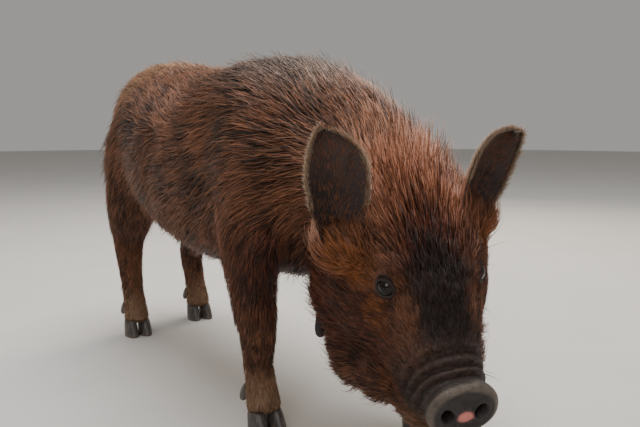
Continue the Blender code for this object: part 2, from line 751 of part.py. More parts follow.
def lock(name, root, lie, length, width, rise, surface):
    """A flat tapered lock that leaves the skin at its root and bends along it to a tip that stands off by rise."""
    shape = bmesh.new()
    place, normal, _, _ = surface.find_nearest(root)
    lie = (lie - normal * lie.dot(normal)).normalized()
    loops = []
    for along, wide, thick, height in LOCK_STATIONS:
        step = place if along == 0 else place + lie * (length * along - travelled)
        travelled = length * along
        place, normal, _, _ = surface.find_nearest(step)
        lie = (lie - normal * lie.dot(normal)).normalized()
        side = normal.cross(lie).normalized() * (width / 2 * wide)
        stand = normal * (LOCK_ROOT + (rise - LOCK_ROOT) * height)
        half = normal * (LOCK_THICKNESS / 2 * thick)
        centre = place + stand
        loops.append([shape.verts.new(centre + d) for d in (side, half, -side, -half)])
    tip = shape.verts.new(place + normal * rise + lie * (length * LOCK_TIP))
    shape.faces.new(loops[0])
    for lower, upper in zip(loops, loops[1:]):
        for k in range(4):
            shape.faces.new((lower[k], lower[(k + 1) % 4], upper[(k + 1) % 4], upper[k]))
    for k in range(4):
        shape.faces.new((loops[-1][k], loops[-1][(k + 1) % 4], tip))
    return mesh_from_bmesh(name, shape)


def scattered(mesh, guides, seed):
    """Roots over the surface, as far apart as their locks are wide, from a seeded random order of places."""
    random = np.random.default_rng(seed)
    mesh.calc_loop_triangles()
    corners = np.array([[mesh.vertices[v].co[:] for v in t.vertices] for t in mesh.loop_triangles])
    area = np.linalg.norm(np.cross(corners[:, 1] - corners[:, 0], corners[:, 2] - corners[:, 0]), axis=1)
    pick = random.choice(len(corners), 6000, p=area / area.sum())
    mix = random.dirichlet((1, 1, 1), 6000)
    points = (corners[pick] * mix[:, :, None]).sum(1)
    lie, length, lift = coat_at(points, guides)
    kept = []
    for i in range(len(points)):
        if length[i] < LOCK_SHORTEST or lift[i] > CREST_LIFT:
            continue
        apart = LOCK_SPACING * (length[i] / 0.035) ** 0.5
        if all(np.linalg.norm(points[i] - points[j]) > apart for j in kept):
            kept.append(i)
    turn = random.normal(0, 0.16, (len(points), 3))
    size = random.uniform(0.85, 1.2, len(points))
    return [(Vector(points[i]), Vector(lie[i] + turn[i]), length[i] * size[i], math.radians(lift[i])) for i in kept]


def crest(surface):
    """The fan of bristles that stands up between the ears and leans back."""
    bristles = []
    for forward, count, wide in CREST_ROWS:
        for k in range(count):
            across = wide * (k / (count - 1) - 0.5)
            place, normal, _, _ = surface.find_nearest(HEAD @ Vector((forward, across, 0.02)))
            lean = HEAD.to_3x3() @ Vector((-0.85, across * 9, 0.75)).normalized()
            face = (normal - lean * normal.dot(lean)).normalized()
            root = place - lean * 0.008
            bristles.append(blade(f"crest_{len(bristles)}", root, lean, face, CREST_LENGTH, CREST_WIDTH))
    return bristles


def with_locks(core, guides):
    """The core joined with its locks: those of the coat and the single ones that hang at the throat."""
    surface = BVHTree.FromPolygons([v.co for v in core.data.vertices], [p.vertices for p in core.data.polygons])
    locks = []
    for n, (root, lie, length, lift) in enumerate(scattered(core.data, guides, LOCK_SEED)):
        rise = length * math.sin(lift) * (1 - CORE_SHARE)
        width = LOCK_WIDTH * (length / 0.035) ** 0.5
        locks.append(lock(f"lock_{n}", root, lie, length * LOCK_STRETCH, width, rise, surface))
    for n, (root, lean, length, width) in enumerate(HANGING_LOCKS):
        place, normal, _, _ = surface.find_nearest(Vector(root))
        lean = Vector(lean).normalized()
        face = (normal - lean * normal.dot(lean)).normalized()
        locks.append(blade(f"hanging_{n}", place - lean * 0.006, lean, face, length, width))
    return united(core, locks + crest(surface))


def part_body(whole):
    """Parts the whole into torso, neck, head, lower jaw and four legs, a thin cut between each two."""
    nodes = {}
    rest = whole
    cells = {name: leg_cell(name) for name in FEET}
    for name, cell in cells.items():
        nodes[name] = boolean(copy_of(whole, name), cell, "INTERSECT", keep=True)
    for cell in cells.values():
        boolean(rest, grown(cell, GAP), "DIFFERENCE")
        bpy.data.objects.remove(cell)
    jaw_line = facing(HEAD @ Vector((0.076, 0, -0.0945)), HEAD.to_3x3() @ Vector((-0.06, 0, -1)))
    jaw_space = []
    for extra in (0, GAP * 1.5):
        shape = block("jaw_space", jaw_line @ Matrix.Translation((0, 0, -extra)), 0.25)
        back = facing(HEAD @ Vector((0.090 - extra, 0, -0.0945)), HEAD.to_3x3() @ Vector((1, 0, -0.25)))
        boolean(shape, block("jaw_back", back), "INTERSECT")
        jaw_space.append(shape)
    throat = HEAD @ Vector((-0.035, 0, -0.075)), HEAD.to_3x3() @ Vector((1, 0, 0.45)).normalized()
    front = boolean(copy_of(rest, "front"), block("cut", facing(*throat)), "INTERSECT")
    nodes["lower_jaw"] = boolean(copy_of(front, "lower_jaw"), jaw_space[0], "INTERSECT")
    nodes["head"] = boolean(front, jaw_space[1], "DIFFERENCE")
    front.name = "head"
    behind = throat[0] - throat[1] * GAP, -throat[1]
    boolean(rest, block("cut", facing(*behind)), "INTERSECT")
    collar = Vector((0.238, 0, 0.23)), Vector((1, 0, 0.05)).normalized()
    nodes["neck"] = boolean(copy_of(rest, "neck"), block("cut", facing(*collar)), "INTERSECT")
    before = collar[0] - collar[1] * GAP, -collar[1]
    nodes["torso"] = boolean(rest, block("cut", facing(*before)), "INTERSECT")
    rest.name = "torso"
    return nodes


def main():
    clear_scene()
    guides = coat_guides()
    whole = thinned(blended("whole", [raised(build_skin(), guides, CORE_SHARE)], CORE_VOXEL, 2), CORE_FACES)
    with_locks(whole, guides)
    nodes = part_body(whole)
    for side, tag in ((-1, "right"), (1, "left")):
        name = "ear_" + tag
        leaf, fringe = ear(name), ear_fringe(name)
        for piece in (leaf, *fringe):
            boolean(nodes["head"], grown(piece, GAP), "DIFFERENCE")
        nodes[name] = united(leaf, fringe)
        frame = eye_frame(side)
        lid = ball("lid", (0, 0, 0), (EYE_RADIUS + LID_THICKNESS,) * 3, frame, points=16)
        boolean(nodes["head"], lid, "UNION")
        opening = ball("opening", (EYE_RADIUS, 0, 0), (0.012, *EYE_OPENING), frame, points=12)
        boolean(nodes["head"], opening, "DIFFERENCE")
        boolean(nodes["head"], ball("socket", (0, 0, 0), (EYE_RADIUS + GAP,) * 3, frame, points=16), "DIFFERENCE")
        nodes["eye_" + tag] = ball("eye_" + tag, (0, 0, 0), (EYE_RADIUS,) * 3, frame, points=14)
        name = "tassel_" + tag
        nodes[name] = tassel(name, side)
        boolean(nodes["head"], grown(nodes[name], GAP), "DIFFERENCE")
    nodes["snout"] = snout()
    boolean(nodes["head"], grown(nodes["snout"], GAP), "DIFFERENCE")
    boolean(nodes["lower_jaw"], grown(nodes["snout"], GAP), "DIFFERENCE")
    nodes["tail"] = tail()
    boolean(nodes["torso"], grown(nodes["tail"], GAP), "DIFFERENCE")
    tuft = []
    for k in range(TAIL_TUFTS):
        turn = 2 * math.pi * k / TAIL_TUFTS
        out = Vector((math.cos(turn), math.sin(turn), 0))
        root = Vector((-0.270, 0.012, 0.212 - 0.004 * (k % 3))) + out * 0.003
        tuft.append(blade(f"tail_tuft_{k}", root, out * 0.32 + Vector((0.10, -0.05, -1)), out, 0.044, 0.015))
    united(nodes["tail"], tuft)
    for leg_name, foot in FEET.items():
        for side, tag in ((-1, "right"), (1, "left")):
            for kind, big in (("hoof", True), ("dewclaw", False)):
                name = kind + "_" + leg_name + "_" + tag
                nodes[name] = claw(name, foot, side, big)
                boolean(nodes[leg_name], grown(nodes[name], GAP), "DIFFERENCE")
    slots = {"ear": "ear_skin", "tassel": "coat", "snout": "snout_skin", "eye": "eye", "hoof": "hoof", "dewclaw": "hoof"}
    for name, obj in nodes.items():
        finish(obj, slots.get(name.split("_")[0], "coat"))
    corners = [obj.matrix_world @ Vector(c) for obj in nodes.values() for c in obj.bound_box]
    low = Vector([min(c[i] for c in corners) for i in range(3)])
    high = Vector([max(c[i] for c in corners) for i in range(3)])
    shift = Vector((-(low.x + high.x) / 2, -(low.y + high.y) / 2, -low.z))
    for obj in nodes.values():
        obj.data.transform(Matrix.Translation(shift))


main()
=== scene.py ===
"""Looks of the young miniature pig: one skin, a long brindled coat, eyes, claws, whiskers and the studio.

Metres, +Z up. The pig faces +X. Its forms are worked out round its own origin, midway between fore and hind
feet, and each finished piece is then moved to where the frame has the pig.
"""

import math

import bmesh
import bpy
import numpy as np
from bpy.props import FloatProperty, FloatVectorProperty, IntProperty, PointerProperty
from bpy.types import Operator, Panel, PropertyGroup
from mathutils import Euler, Matrix, Vector
from mathutils.bvhtree import BVHTree
from mathutils.kdtree import KDTree


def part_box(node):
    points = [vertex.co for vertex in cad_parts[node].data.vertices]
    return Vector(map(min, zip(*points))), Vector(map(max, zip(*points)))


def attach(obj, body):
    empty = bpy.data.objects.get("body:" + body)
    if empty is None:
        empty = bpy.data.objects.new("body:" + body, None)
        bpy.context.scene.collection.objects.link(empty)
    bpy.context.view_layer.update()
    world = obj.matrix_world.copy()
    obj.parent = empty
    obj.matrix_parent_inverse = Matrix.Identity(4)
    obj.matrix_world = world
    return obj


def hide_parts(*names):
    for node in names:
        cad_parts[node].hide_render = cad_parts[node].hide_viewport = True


bl_info = {
    "name": "Miniature Pig",
    "version": (1, 0, 0),
    "blender": (4, 5, 0),
    "location": "3D View > Sidebar > Miniature Pig",
    "description": "Skin, coat, eyes, claws and whiskers of a young miniature pig, in a studio",
    "category": "Object",
}

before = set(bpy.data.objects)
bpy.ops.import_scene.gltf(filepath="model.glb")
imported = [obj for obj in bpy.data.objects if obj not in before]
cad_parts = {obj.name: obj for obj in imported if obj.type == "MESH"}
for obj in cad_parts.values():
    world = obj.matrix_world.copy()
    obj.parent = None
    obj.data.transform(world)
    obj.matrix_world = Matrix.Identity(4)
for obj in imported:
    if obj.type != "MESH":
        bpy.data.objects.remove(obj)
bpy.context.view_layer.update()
BODY = "root"
SIDES = {-1: "right", 1: "left"}

# Driving sizes of the animal, to the skin
WHEELBASE = 0.39
BACK_HEIGHT = 0.346
BELLY_HEIGHT = 0.150
TRUNK_HALF_WIDTH = 0.089

# The head's own frame has its origin between the ears, +X to the snout and +Z out of the forehead
POLL = Vector((0.3498, -0.0136, 0.2369))
HEAD_TURNS = Euler((math.radians(8.7), math.radians(42.6), math.radians(-14.0)), "XYZ")
HEAD = Matrix.Translation(POLL) @ HEAD_TURNS.to_matrix().to_4x4()
TASSEL = Vector((0.008, 0.0655, -0.130))
EYE = Vector((0.0655, 0.0335, -0.0238))
EYE_LOOKS = {-1: Vector((0.58, -0.70, 0.42)), 1: Vector((0.25, 0.94, 0.26))}
EYE_RADIUS = 0.0085
EYE_OPENING = (0.0070, 0.0054)
OPENING_POWER = 1.75

# How far an eyeball stays inside its nominal size, and the height and spread of its clear front
EYE_CLEARANCE = 0.00005
CORNEA_RISE = 0.0005
CORNEA_ANGLE = 0.55

# The skin round an eye: behind the ball, outside the lids, the angles between which it eases, and its reach
SEAT_DEPTH = 0.0015
SEAT_RISE = 0.0006
SEAT_EASE = (0.30, 1.05)
SEAT_REACH = 0.022
SEAT_ANGLE = 2.0

# Section of a lid, from its rim: angle beyond the opening, and how far out from the eye's centre
LID_SECTION = (
    (0.00, -0.0003), (-0.02, 0.0004), (0.02, 0.0010), (0.10, 0.0015), (0.20, 0.0016), (0.29, 0.0011),
    (0.36, 0.0009), (0.46, 0.0014), (0.58, 0.0016), (0.72, 0.0010), (0.86, 0.0000), (0.80, -0.0016),
    (0.50, -0.0016), (0.20, -0.0012),
)
LID_POINTS = 56
UPPER_LID = 0.5

# The snout's disc, with its nostrils, the groove above them and the pink spot between them
SNOUT = Vector((0.1470, 0, -0.0620))
SNOUT_TILT = -0.38
SNOUT_HALF = (0.0258, 0.0216)
SNOUT_DEPTH = 0.014
NOSTRIL_PLACE = (0.0125, -0.0010)
NOSTRIL_HALF = (0.0044, 0.0060)
NOSTRIL_DEPTH = 0.012
NOSTRIL_LEAN = 0.35
NOSTRIL_RIM = 0.0009
GROOVE_WIDTH = 0.0011
GROOVE_DEPTH = 0.0008
PINK_PLACE = (0.001, -0.0040)
PINK_HALF = (0.0066, 0.0056)

# Rings of the disc: how far forward, and their share of its half size; the lower half is a little smaller
SNOUT_ROWS = (
    (-0.010, 0.90), (-0.004, 0.93), (0.001, 0.95), (0.005, 1.03), (0.009, 1.06), (0.0120, 1.02),
    (SNOUT_DEPTH, 0.92), (SNOUT_DEPTH + 0.0002, 0.82), (SNOUT_DEPTH - 0.0008, 0.70),
    (SNOUT_DEPTH - 0.0010, 0.50), (SNOUT_DEPTH - 0.0004, 0.30), (SNOUT_DEPTH, 0.12), (SNOUT_DEPTH, 0.02),
)
SNOUT_LOWER = 0.94

# The head from the poll to the root of the snout: x, y of the middle, top, bottom and half width
SKULL_ROWS = (
    (-0.060, 0, -0.020, -0.112, 0.048),
    (-0.030, 0, 0.000, -0.128, 0.060),
    (0.005, 0, 0.007, -0.137, 0.0650),
    (0.038, 0, 0.005, -0.138, 0.0610),
    (0.064, 0, 0.000, -0.136, 0.0490),
    (0.081, 0, -0.006, -0.133, 0.0415),
    (0.099, 0, -0.020, -0.125, 0.0355),
    (0.119, 0, -0.038, -0.112, 0.0295),
    (0.134, 0, -0.041, -0.100, 0.0262),
    (0.148, 0, -0.0405, -0.084, 0.0245),
)

# Paired swellings of the head: centre, radii and turn of the left one
SWELLINGS = {
    "brow": ((0.056, 0.029, -0.010), (0.025, 0.014, 0.010), (0, 0.25, 0.15)),
    "orbit": ((0.064, 0.029, -0.028), (0.025, 0.0130, 0.020), (0, 0, -0.35)),
    "cheek": ((0.026, 0.0385, -0.078), (0.050, 0.025, 0.048), (0, 0, 0)),
    "jaw": ((0.030, 0.039, -0.117), (0.060, 0.026, 0.029), (0, -0.1, -0.28)),
    "jowl": ((0.038, 0.0355, -0.117), (0.056, 0.030, 0.030), (0, 0.78, 0.26)),
    "lip": ((0.122, 0.018, -0.079), (0.029, 0.0125, 0.016), (0, 0, 0)),
    "mandible": ((0.080, 0.034, -0.116), (0.030, 0.020, 0.022), (0, 0.3, 0)),
}
CHIN = (0.098, 0, -0.112)
CHIN_SIZE = (0.050, 0.035, 0.0205)

# A jowl tassel down from its root: how far, and its half width
TASSEL_ROWS = (
    (-0.014, 0.0032), (0.000, 0.0034), (0.010, 0.0040), (0.019, 0.0050), (0.0250, 0.0042),
    (0.0275, 0.0022), (0.0280, 0.0004),
)

# Each ear: root in the head's frame, direction and facing in the body's frame
EAR_LENGTH = 0.0655
EAR_WIDTH = 0.0470
EAR_TIP_LEAN = 0.0115
EAR_ROOT = 0.022
EAR_CUP = 0.013
EAR_THICKNESS = 0.0024
EAR_EDGE = 0.0015
EAR_TIP_FORWARD = 0.010
EARS = {
    "ear_right": (
        Vector((0.0144, -0.0620, 0.0020)), Vector((-0.06, -0.01, 1.00)), Vector((0.93, -0.37, -0.10))),
    "ear_left": (
        Vector((0.0150, 0.0450, 0.0020)), Vector((-0.07, 0.48, 0.87)), Vector((0.98, 0.19, -0.10))),
}

# Swellings of the head that the ears' bases sit in, in the head's frame
EAR_BASES = {"right": (0.022, -0.057, -0.022), "left": (0.012, 0.046, -0.022)}
EAR_BASE_SIZE = (0.024, 0.023, 0.020)

# Where each foot stands: the right forefoot and the left hindfoot are the ones left behind in the step
FEET = {
    "foreleg_right": Vector((WHEELBASE / 2 - 0.005, -0.061, 0)),
    "foreleg_left": Vector((WHEELBASE / 2 + 0.068, 0.066, 0)),
    "hindleg_right": Vector((-WHEELBASE / 2, -0.054, 0)),
    "hindleg_left": Vector((-WHEELBASE / 2 - 0.038, 0.052, 0)),
}

# Muscle that carries a leg into the trunk: how far behind the leg's top, out and up, its radii and its turn
MUSCLES = {
    "fore": (0.004, 0.056, 0.236, (0.054, 0.034, 0.078), -0.3),
    "hind": (0.002, 0.048, 0.232, (0.064, 0.037, 0.078), 0.25),
}
HOOF_HEIGHT = 0.021
HOOF_LENGTH = 0.033
HOOF_WIDTH = 0.0165
CLAW_SPREAD = 0.0094
CLAW_AHEAD = 0.006
GROWTH_RINGS = 0.006
GROWTH_PITCH = 0.0009
SHARP_ANGLE = math.radians(40)

# Rings of a claw: height, how far forward, and the shares of its length and width
CLAW_ROWS = (
    (0.0000, 0.0020, 0.97, 0.97),
    (0.0006, 0.0020, 1.00, 1.00),
    (0.0035, 0.0018, 1.01, 1.02),
    (0.0110, 0.0000, 0.92, 0.98),
    (HOOF_HEIGHT - 0.003, -0.0022, 0.80, 0.90),
    (HOOF_HEIGHT, -0.0028, 0.70, 0.78),
)
DEWCLAW = (-0.012, 0.0095, 0.040)
DEWCLAW_LENGTH = 0.015
DEWCLAW_ROWS = ((0, 0.0050), (0.35, 0.0055), (0.75, 0.0044), (0.95, 0.0026), (1, 0.0010))

# How finely the body and the whole skin are made, and where along the head each is then split finer
BODY_VOXEL = 0.0045
SKIN_VOXEL = 0.0034
RELAX_ROUNDS = 4
HEAD_START = -0.02
MUZZLE_START = 0.100
EYE_SURROUND = 0.021

# Folds across the muzzle: how far along the head and how deep, with a low rise behind each
MUZZLE_FOLDS = ((0.1215, 0.0022), (0.1310, 0.0027), (0.1400, 0.0030))
FOLD_WIDTH = 0.0024
FOLD_BEND = 5.0
FOLD_LEAN = 0.10
FOLD_RISE = 0.55
FOLD_BEHIND = 0.0045
FOLDS_FADE = (-0.088, -0.066)

# The mouth, the lip above it and the bag under the eye, in the head's frame
MOUTH_DEPTH = 0.0030
MOUTH_WIDTH = 0.0022
LIP_ABOVE = 0.006
LIP_RISE = 0.0012
LIP_WIDTH = 0.004
LIP_STARTS = (0.088, 0.11)
BAG_AHEAD = 0.004
BAG_BELOW = 0.0165
BAG_FLATNESS = 1.3
BAG_RADIUS = 0.010
BAG_WIDTH = 0.0018
BAG_DEPTH = 0.0012
BRIDGE_HALF = 0.02
MOUTH_LINE = (
    (0.153, 0.010, -0.0885), (0.140, 0.0225, -0.0890), (0.121, 0.0285, -0.0905),
    (0.104, 0.0340, -0.0935), (0.090, 0.0395, -0.0960), (0.081, 0.0440, -0.0920),
)

# The coat of body and head: where, which way it lies, how long it is and how steeply it stands
BODY_COAT = [
    ((0.17, 0.00, 0.35), (-1.0, 0.0, -0.02), 0.038, 13),
    ((0.00, 0.00, 0.35), (-1.0, 0.0, -0.02), 0.034, 11),
    ((-0.16, 0.00, 0.35), (-1.0, 0.0, -0.15), 0.032, 11),
    ((-0.25, 0.00, 0.27), (-0.3, 0.0, -1.0), 0.030, 13),
    ((0.14, 0.09, 0.27), (-0.9, 0.0, -0.45), 0.034, 13),
    ((0.02, 0.09, 0.25), (-0.95, 0.0, -0.3), 0.032, 12),
    ((-0.09, 0.09, 0.24), (-0.9, 0.0, -0.45), 0.032, 12),
    ((-0.18, 0.08, 0.27), (-0.6, 0.0, -0.7), 0.030, 12),
    ((0.02, 0.08, 0.17), (-0.8, 0.0, -0.6), 0.032, 14),
    ((0.00, 0.00, 0.15), (-0.9, 0.0, -0.3), 0.026, 16),
    ((0.25, 0.00, 0.19), (-0.5, 0.0, -1.0), 0.034, 16),
    ((0.19, 0.08, 0.17), (-0.3, 0.0, -1.0), 0.022, 11),
    ((0.20, 0.06, 0.08), (0.0, 0.0, -1.0), 0.012, 11),
    ((0.20, 0.06, 0.03), (0.0, 0.0, -1.0), 0.011, 12),
    ((-0.17, 0.08, 0.19), (-0.4, 0.0, -1.0), 0.022, 11),
    ((-0.22, 0.06, 0.11), (-0.2, 0.0, -1.0), 0.014, 11),
    ((-0.20, 0.055, 0.04), (0.0, 0.0, -1.0), 0.011, 12),
    ((0.25, 0.00, 0.31), (-0.9, 0.0, 0.4), 0.038, 17),
    ((0.25, 0.07, 0.24), (-0.9, 0.0, -0.3), 0.034, 15),
    ((0.27, 0.00, 0.15), (-0.5, 0.0, -0.8), 0.030, 18),
    ((-0.060, 0.085, 0.310), (-0.9, 0.0, 0.5), 0.030, 14),
    ((0.010, 0.088, 0.300), (-0.8, 0.0, 0.5), 0.030, 14),
    ((-0.010, 0.090, 0.255), (-0.6, 0.0, -0.8), 0.030, 13),
]
HEAD_COAT = [
    ((0.062, 0.000, 0.000), (-1.0, 0.0, 0.15), 0.024, 24),
    ((0.040, 0.020, 0.004), (-1.0, 0.2, 0.3), 0.032, 30),
    ((0.012, 0.000, 0.010), (-1.0, 0.0, 0.5), 0.044, 38),
    ((0.084, 0.000, -0.010), (-1.0, 0.0, 0.3), 0.014, 14),
    ((0.104, 0.000, -0.026), (-1.0, 0.0, 0.9), 0.008, 10),
    ((0.125, 0.000, -0.041), (-1.0, 0.0, 0.1), 0.0042, 10),
    ((0.138, 0.024, -0.060), (-1.0, 0.2, -0.1), 0.0042, 8),
    ((0.110, 0.034, -0.072), (-1.0, 0.2, -0.2), 0.008, 10),
    ((0.074, 0.044, -0.052), (-1.0, 0.3, -0.2), 0.011, 10),
    ((0.040, 0.064, -0.060), (-1.0, 0.2, -0.3), 0.020, 13),
    ((0.010, 0.066, -0.100), (-1.0, 0.2, -0.5), 0.028, 18),
    ((0.060, 0.060, -0.130), (-0.9, 0.2, -0.7), 0.021, 17),
    ((0.125, 0.000, -0.104), (-1.0, 0.0, -0.5), 0.011, 24),
    ((0.086, 0.024, -0.132), (-0.9, 0.1, -0.7), 0.020, 24),
    ((0.050, 0.000, -0.138), (-1.0, 0.0, -0.6), 0.026, 24),
    ((0.030, 0.060, -0.015), (-1.0, 0.3, 0.2), 0.022, 20),
    ((0.070, 0.040, -0.014), (-1.0, 0.3, 0.1), 0.008, 12),
    ((0.060, 0.045, -0.030), (-1.0, 0.4, 0.0), 0.008, 10),
]

# Markings: centre, half sizes, colour of the pale hairs, and how many of the hairs are pale
BODY_MARKINGS = [
    # Along the top of the back the gold is partly the hairs' golden tips, partly painted highlight of the
    # light from above
    ((-0.20, 0.00, 0.350), (0.130, 0.12, 0.065), "gold_and_highlight", 0.90),
    ((-0.02, 0.00, 0.385), (0.20, 0.09, 0.045), "gold_and_highlight", 0.55),
    # On the withers the slate is partly grey hair, partly painted sheen of the light from above
    ((0.190, 0.00, 0.355), (0.130, 0.10, 0.055), "slate_and_sheen", 0.60),
    ((0.00, 0.00, 0.140), (0.30, 0.11, 0.045), "red", 0.80),
    ((0.215, 0.00, 0.160), (0.050, 0.13, 0.070), "red", 0.50),
    ((0.00, 0.00, 0.012), (3.00, 3.00, 0.055), "tan", 0.95),
]
HEAD_MARKINGS = [
    ((0.030, 0.000, -0.080), (0.090, 0.100, 0.080), "red", 0.60),
    ((0.020, 0.000, 0.030), (0.058, 0.075, 0.052), "auburn", 0.95),
    ((0.044, 0.060, -0.024), (0.024, 0.026, 0.026), "orange", 0.95),
    ((0.044, -0.060, -0.024), (0.024, 0.026, 0.026), "orange", 0.95),
    ((0.080, 0.042, -0.048), (0.016, 0.018, 0.020), "orange", 0.60),
    ((0.080, -0.042, -0.048), (0.016, 0.018, 0.020), "orange", 0.60),
    ((0.070, 0.000, 0.000), (0.036, 0.036, 0.026), "red", 0.50),
    ((0.090, 0.000, -0.008), (0.030, 0.026, 0.022), "umber", 0.15),
    ((0.108, 0.000, -0.028), (0.024, 0.018, 0.024), "umber", 0.02),
    ((0.132, 0.000, -0.062), (0.036, 0.052, 0.046), "grey_brown", 0.55),
]

MARKING_WANDER = 0.035

# Fixed colours of the materials
ROOT_DARK = (0.006, 0.004, 0.004, 1)
# Painted shade: the near-black that the skin under the coat is darkened towards, where the hairs shade it
UNDERCOAT_SHADE = (0.008, 0.005, 0.005, 1)
LEATHER_STAIN = (0.030, 0.022, 0.020, 1)
PUPIL = (0.002, 0.002, 0.002, 1)
EYE_RIM = (0.006, 0.004, 0.004, 1)
HORN_STREAK = (0.19, 0.145, 0.105, 1)
HORN_WORN = (0.16, 0.125, 0.095, 1)
SKY_COLOUR = (1.0, 0.96, 0.92, 1)

# Slot names passed with the finished pieces; nothing in this script reads them
COAT_SLOT = "coat"
EYE_SLOT = "eye"
HOOF_SLOT = "hoof"

# Kinds of the skin's pieces, which say how each is coloured
BODY_KIND, LID_KIND, SNOUT_KIND, EAR_KIND, TASSEL_KIND = range(5)
# Share of the near-black that the lids take: their own dark skin with painted shade
LID_SHADE = 0.9
WITHIN_EAR = 0.11

# Where head, neck and legs part for the coat, and how far round the eyes and the mouth it is bare
NAPE = -0.035
NAPE_SLOPE = 0.45
LEG_TOP = 0.135
LEG_REACH = 0.042
BARE_LIDS = 0.0105
BARE_MOUTH = 0.0018

# Fields of the unwrap: left, bottom, width and height, and the step to the next leg's or ear's field
TRUNK_FIELD = (0.02, 0.44, 0.96, 0.54)
HEAD_FIELD = (0.02, 0.02, 0.28, 0.36)
LEG_FIELD = (0.34, 0.02, 0.11, 0.36)
LEG_FIELD_STEP = 0.12
TAIL_FIELD = (0.34, 0.395, 0.46, 0.02)
EAR_FIELD = (0.83, 0.02, 0.035, 0.17)
EAR_FIELD_STEP = (0.08, 0.19)

# Photograph's camera, in the pig's own frame: place, turn from the +Y axis, and tilt down
CAMERA_PLACE = Vector((0.832, -0.395, 0.298))
CAMERA_TURN = math.radians(58.2)
CAMERA_TILT = math.radians(7.2)
IMAGE_WIDTH = 640
FOCAL_PIXELS = 790
SENSOR = 36.0

# Softboxes: place, width, share of the key light's strength, and colour
LIGHTS = {
    "key": ((-0.25, 0.15, 2.1), 1.9, 1.0, (1.0, 0.98, 0.96)),
    "rim": ((-0.9, 1.2, 1.1), 0.8, 0.22, (1.0, 0.86, 0.70)),
    "front": ((1.3, -1.3, 1.0), 1.0, 0.16, (1, 1, 1)),
}
LIT_POINT = Vector((0.05, 0, 0.2))
FLOOR_RADIUS = 6

# Stations of a tuft from root to tip: how far along, and how wide for its width; long ones bend more
LONG = ((0.0, 0.36, 0.72, 1.0), (0.75, 1.0, 0.7, 0.0))
SHORT = ((0.0, 0.50, 1.0), (0.85, 1.0, 0.0))
MOST_TRIANGLES = 196000
ROOT_DEPTH = 0.0012
HAIR_WANDER = 0.10
MOST_PULL = 0.92
GUIDE_EASE = 0.0001

# Hair of the head shorter than this is a piece of its own, and that before the ears is cut by this share
FACE_LENGTH = 0.0135
EAR_CLEARING = 0.55
EAR_HAIRS = {"back": 3000, "fringe": 1400, "inside": 1300}
TAIL_HAIRS = 2600
TAIL_LIE = (0.10, -0.05, -1.0)
TAIL_LIFT = 12.0

# Bristles, in the head's frame: rows of places on one side, which way they point and how long they are
BRISTLE_ROWS = (
    (((0.132, 0.022, -0.058), (0.118, 0.028, -0.080)), (0.35, 0.9, -0.1), 0.016, 9),
    (((0.128, 0.018, -0.096), (0.090, 0.026, -0.118)), (0.10, 0.5, -0.9), 0.020, 10),
    (((0.078, 0.028, -0.008), (0.060, 0.036, -0.008)), (0.30, 0.5, 0.8), 0.022, 6),
    (((0.086, 0.042, -0.050), (0.076, 0.048, -0.060)), (0.20, 0.9, -0.1), 0.016, 4),
)
BRISTLE_SETTINGS = {"Thickness": 0.010, "Sag": 0.22}
BRISTLE_VALUES = (
    ("lie", "FLOAT_VECTOR", "vector"), ("sag", "FLOAT_VECTOR", "vector"), ("size", "FLOAT", "value"),
)
LASHES = 26
UPPER_LASHES = 0.7
LASH_ROOT = 0.0014

PATCH = 0.003
RING_POINTS = 28
RING_STEPS = 3
NEARLY_LEVEL = 0.8
MANY = 1


def colour_setting(name, value, description):
    return FloatVectorProperty(name=name, description=description, default=value, subtype="COLOR",
                               min=0, max=1)


def count_setting(name, value, least, description):
    return IntProperty(name=name, description=description, default=value, min=least)


class PigHide(PropertyGroup):
    """Colours of the bare parts."""
    rim: colour_setting("Snout rim", (0.125, 0.095, 0.072), "Rim and sides of the snout's disc")
    snout: colour_setting("Snout face", (0.012, 0.008, 0.008), "Bare skin round the nostrils")
    pink: colour_setting("Pink patch", (0.62, 0.20, 0.17), "Unpigmented patch between the nostrils")
    ear: colour_setting("Ear", (0.042, 0.024, 0.020), "Bare skin inside the ears, towards the tip")
    # Painted shade: near-black laid deep in the ears' hollows and round the eyes, and the lids' own dark skin
    hollow: colour_setting("Ear hollow", (0.010, 0.006, 0.006), "Deep in the ears, and the lids")
    eye: colour_setting("Iris", (0.010, 0.005, 0.004), "Ring round the pupil")
    horn: colour_setting("Horn", (0.050, 0.042, 0.038), "The claws")


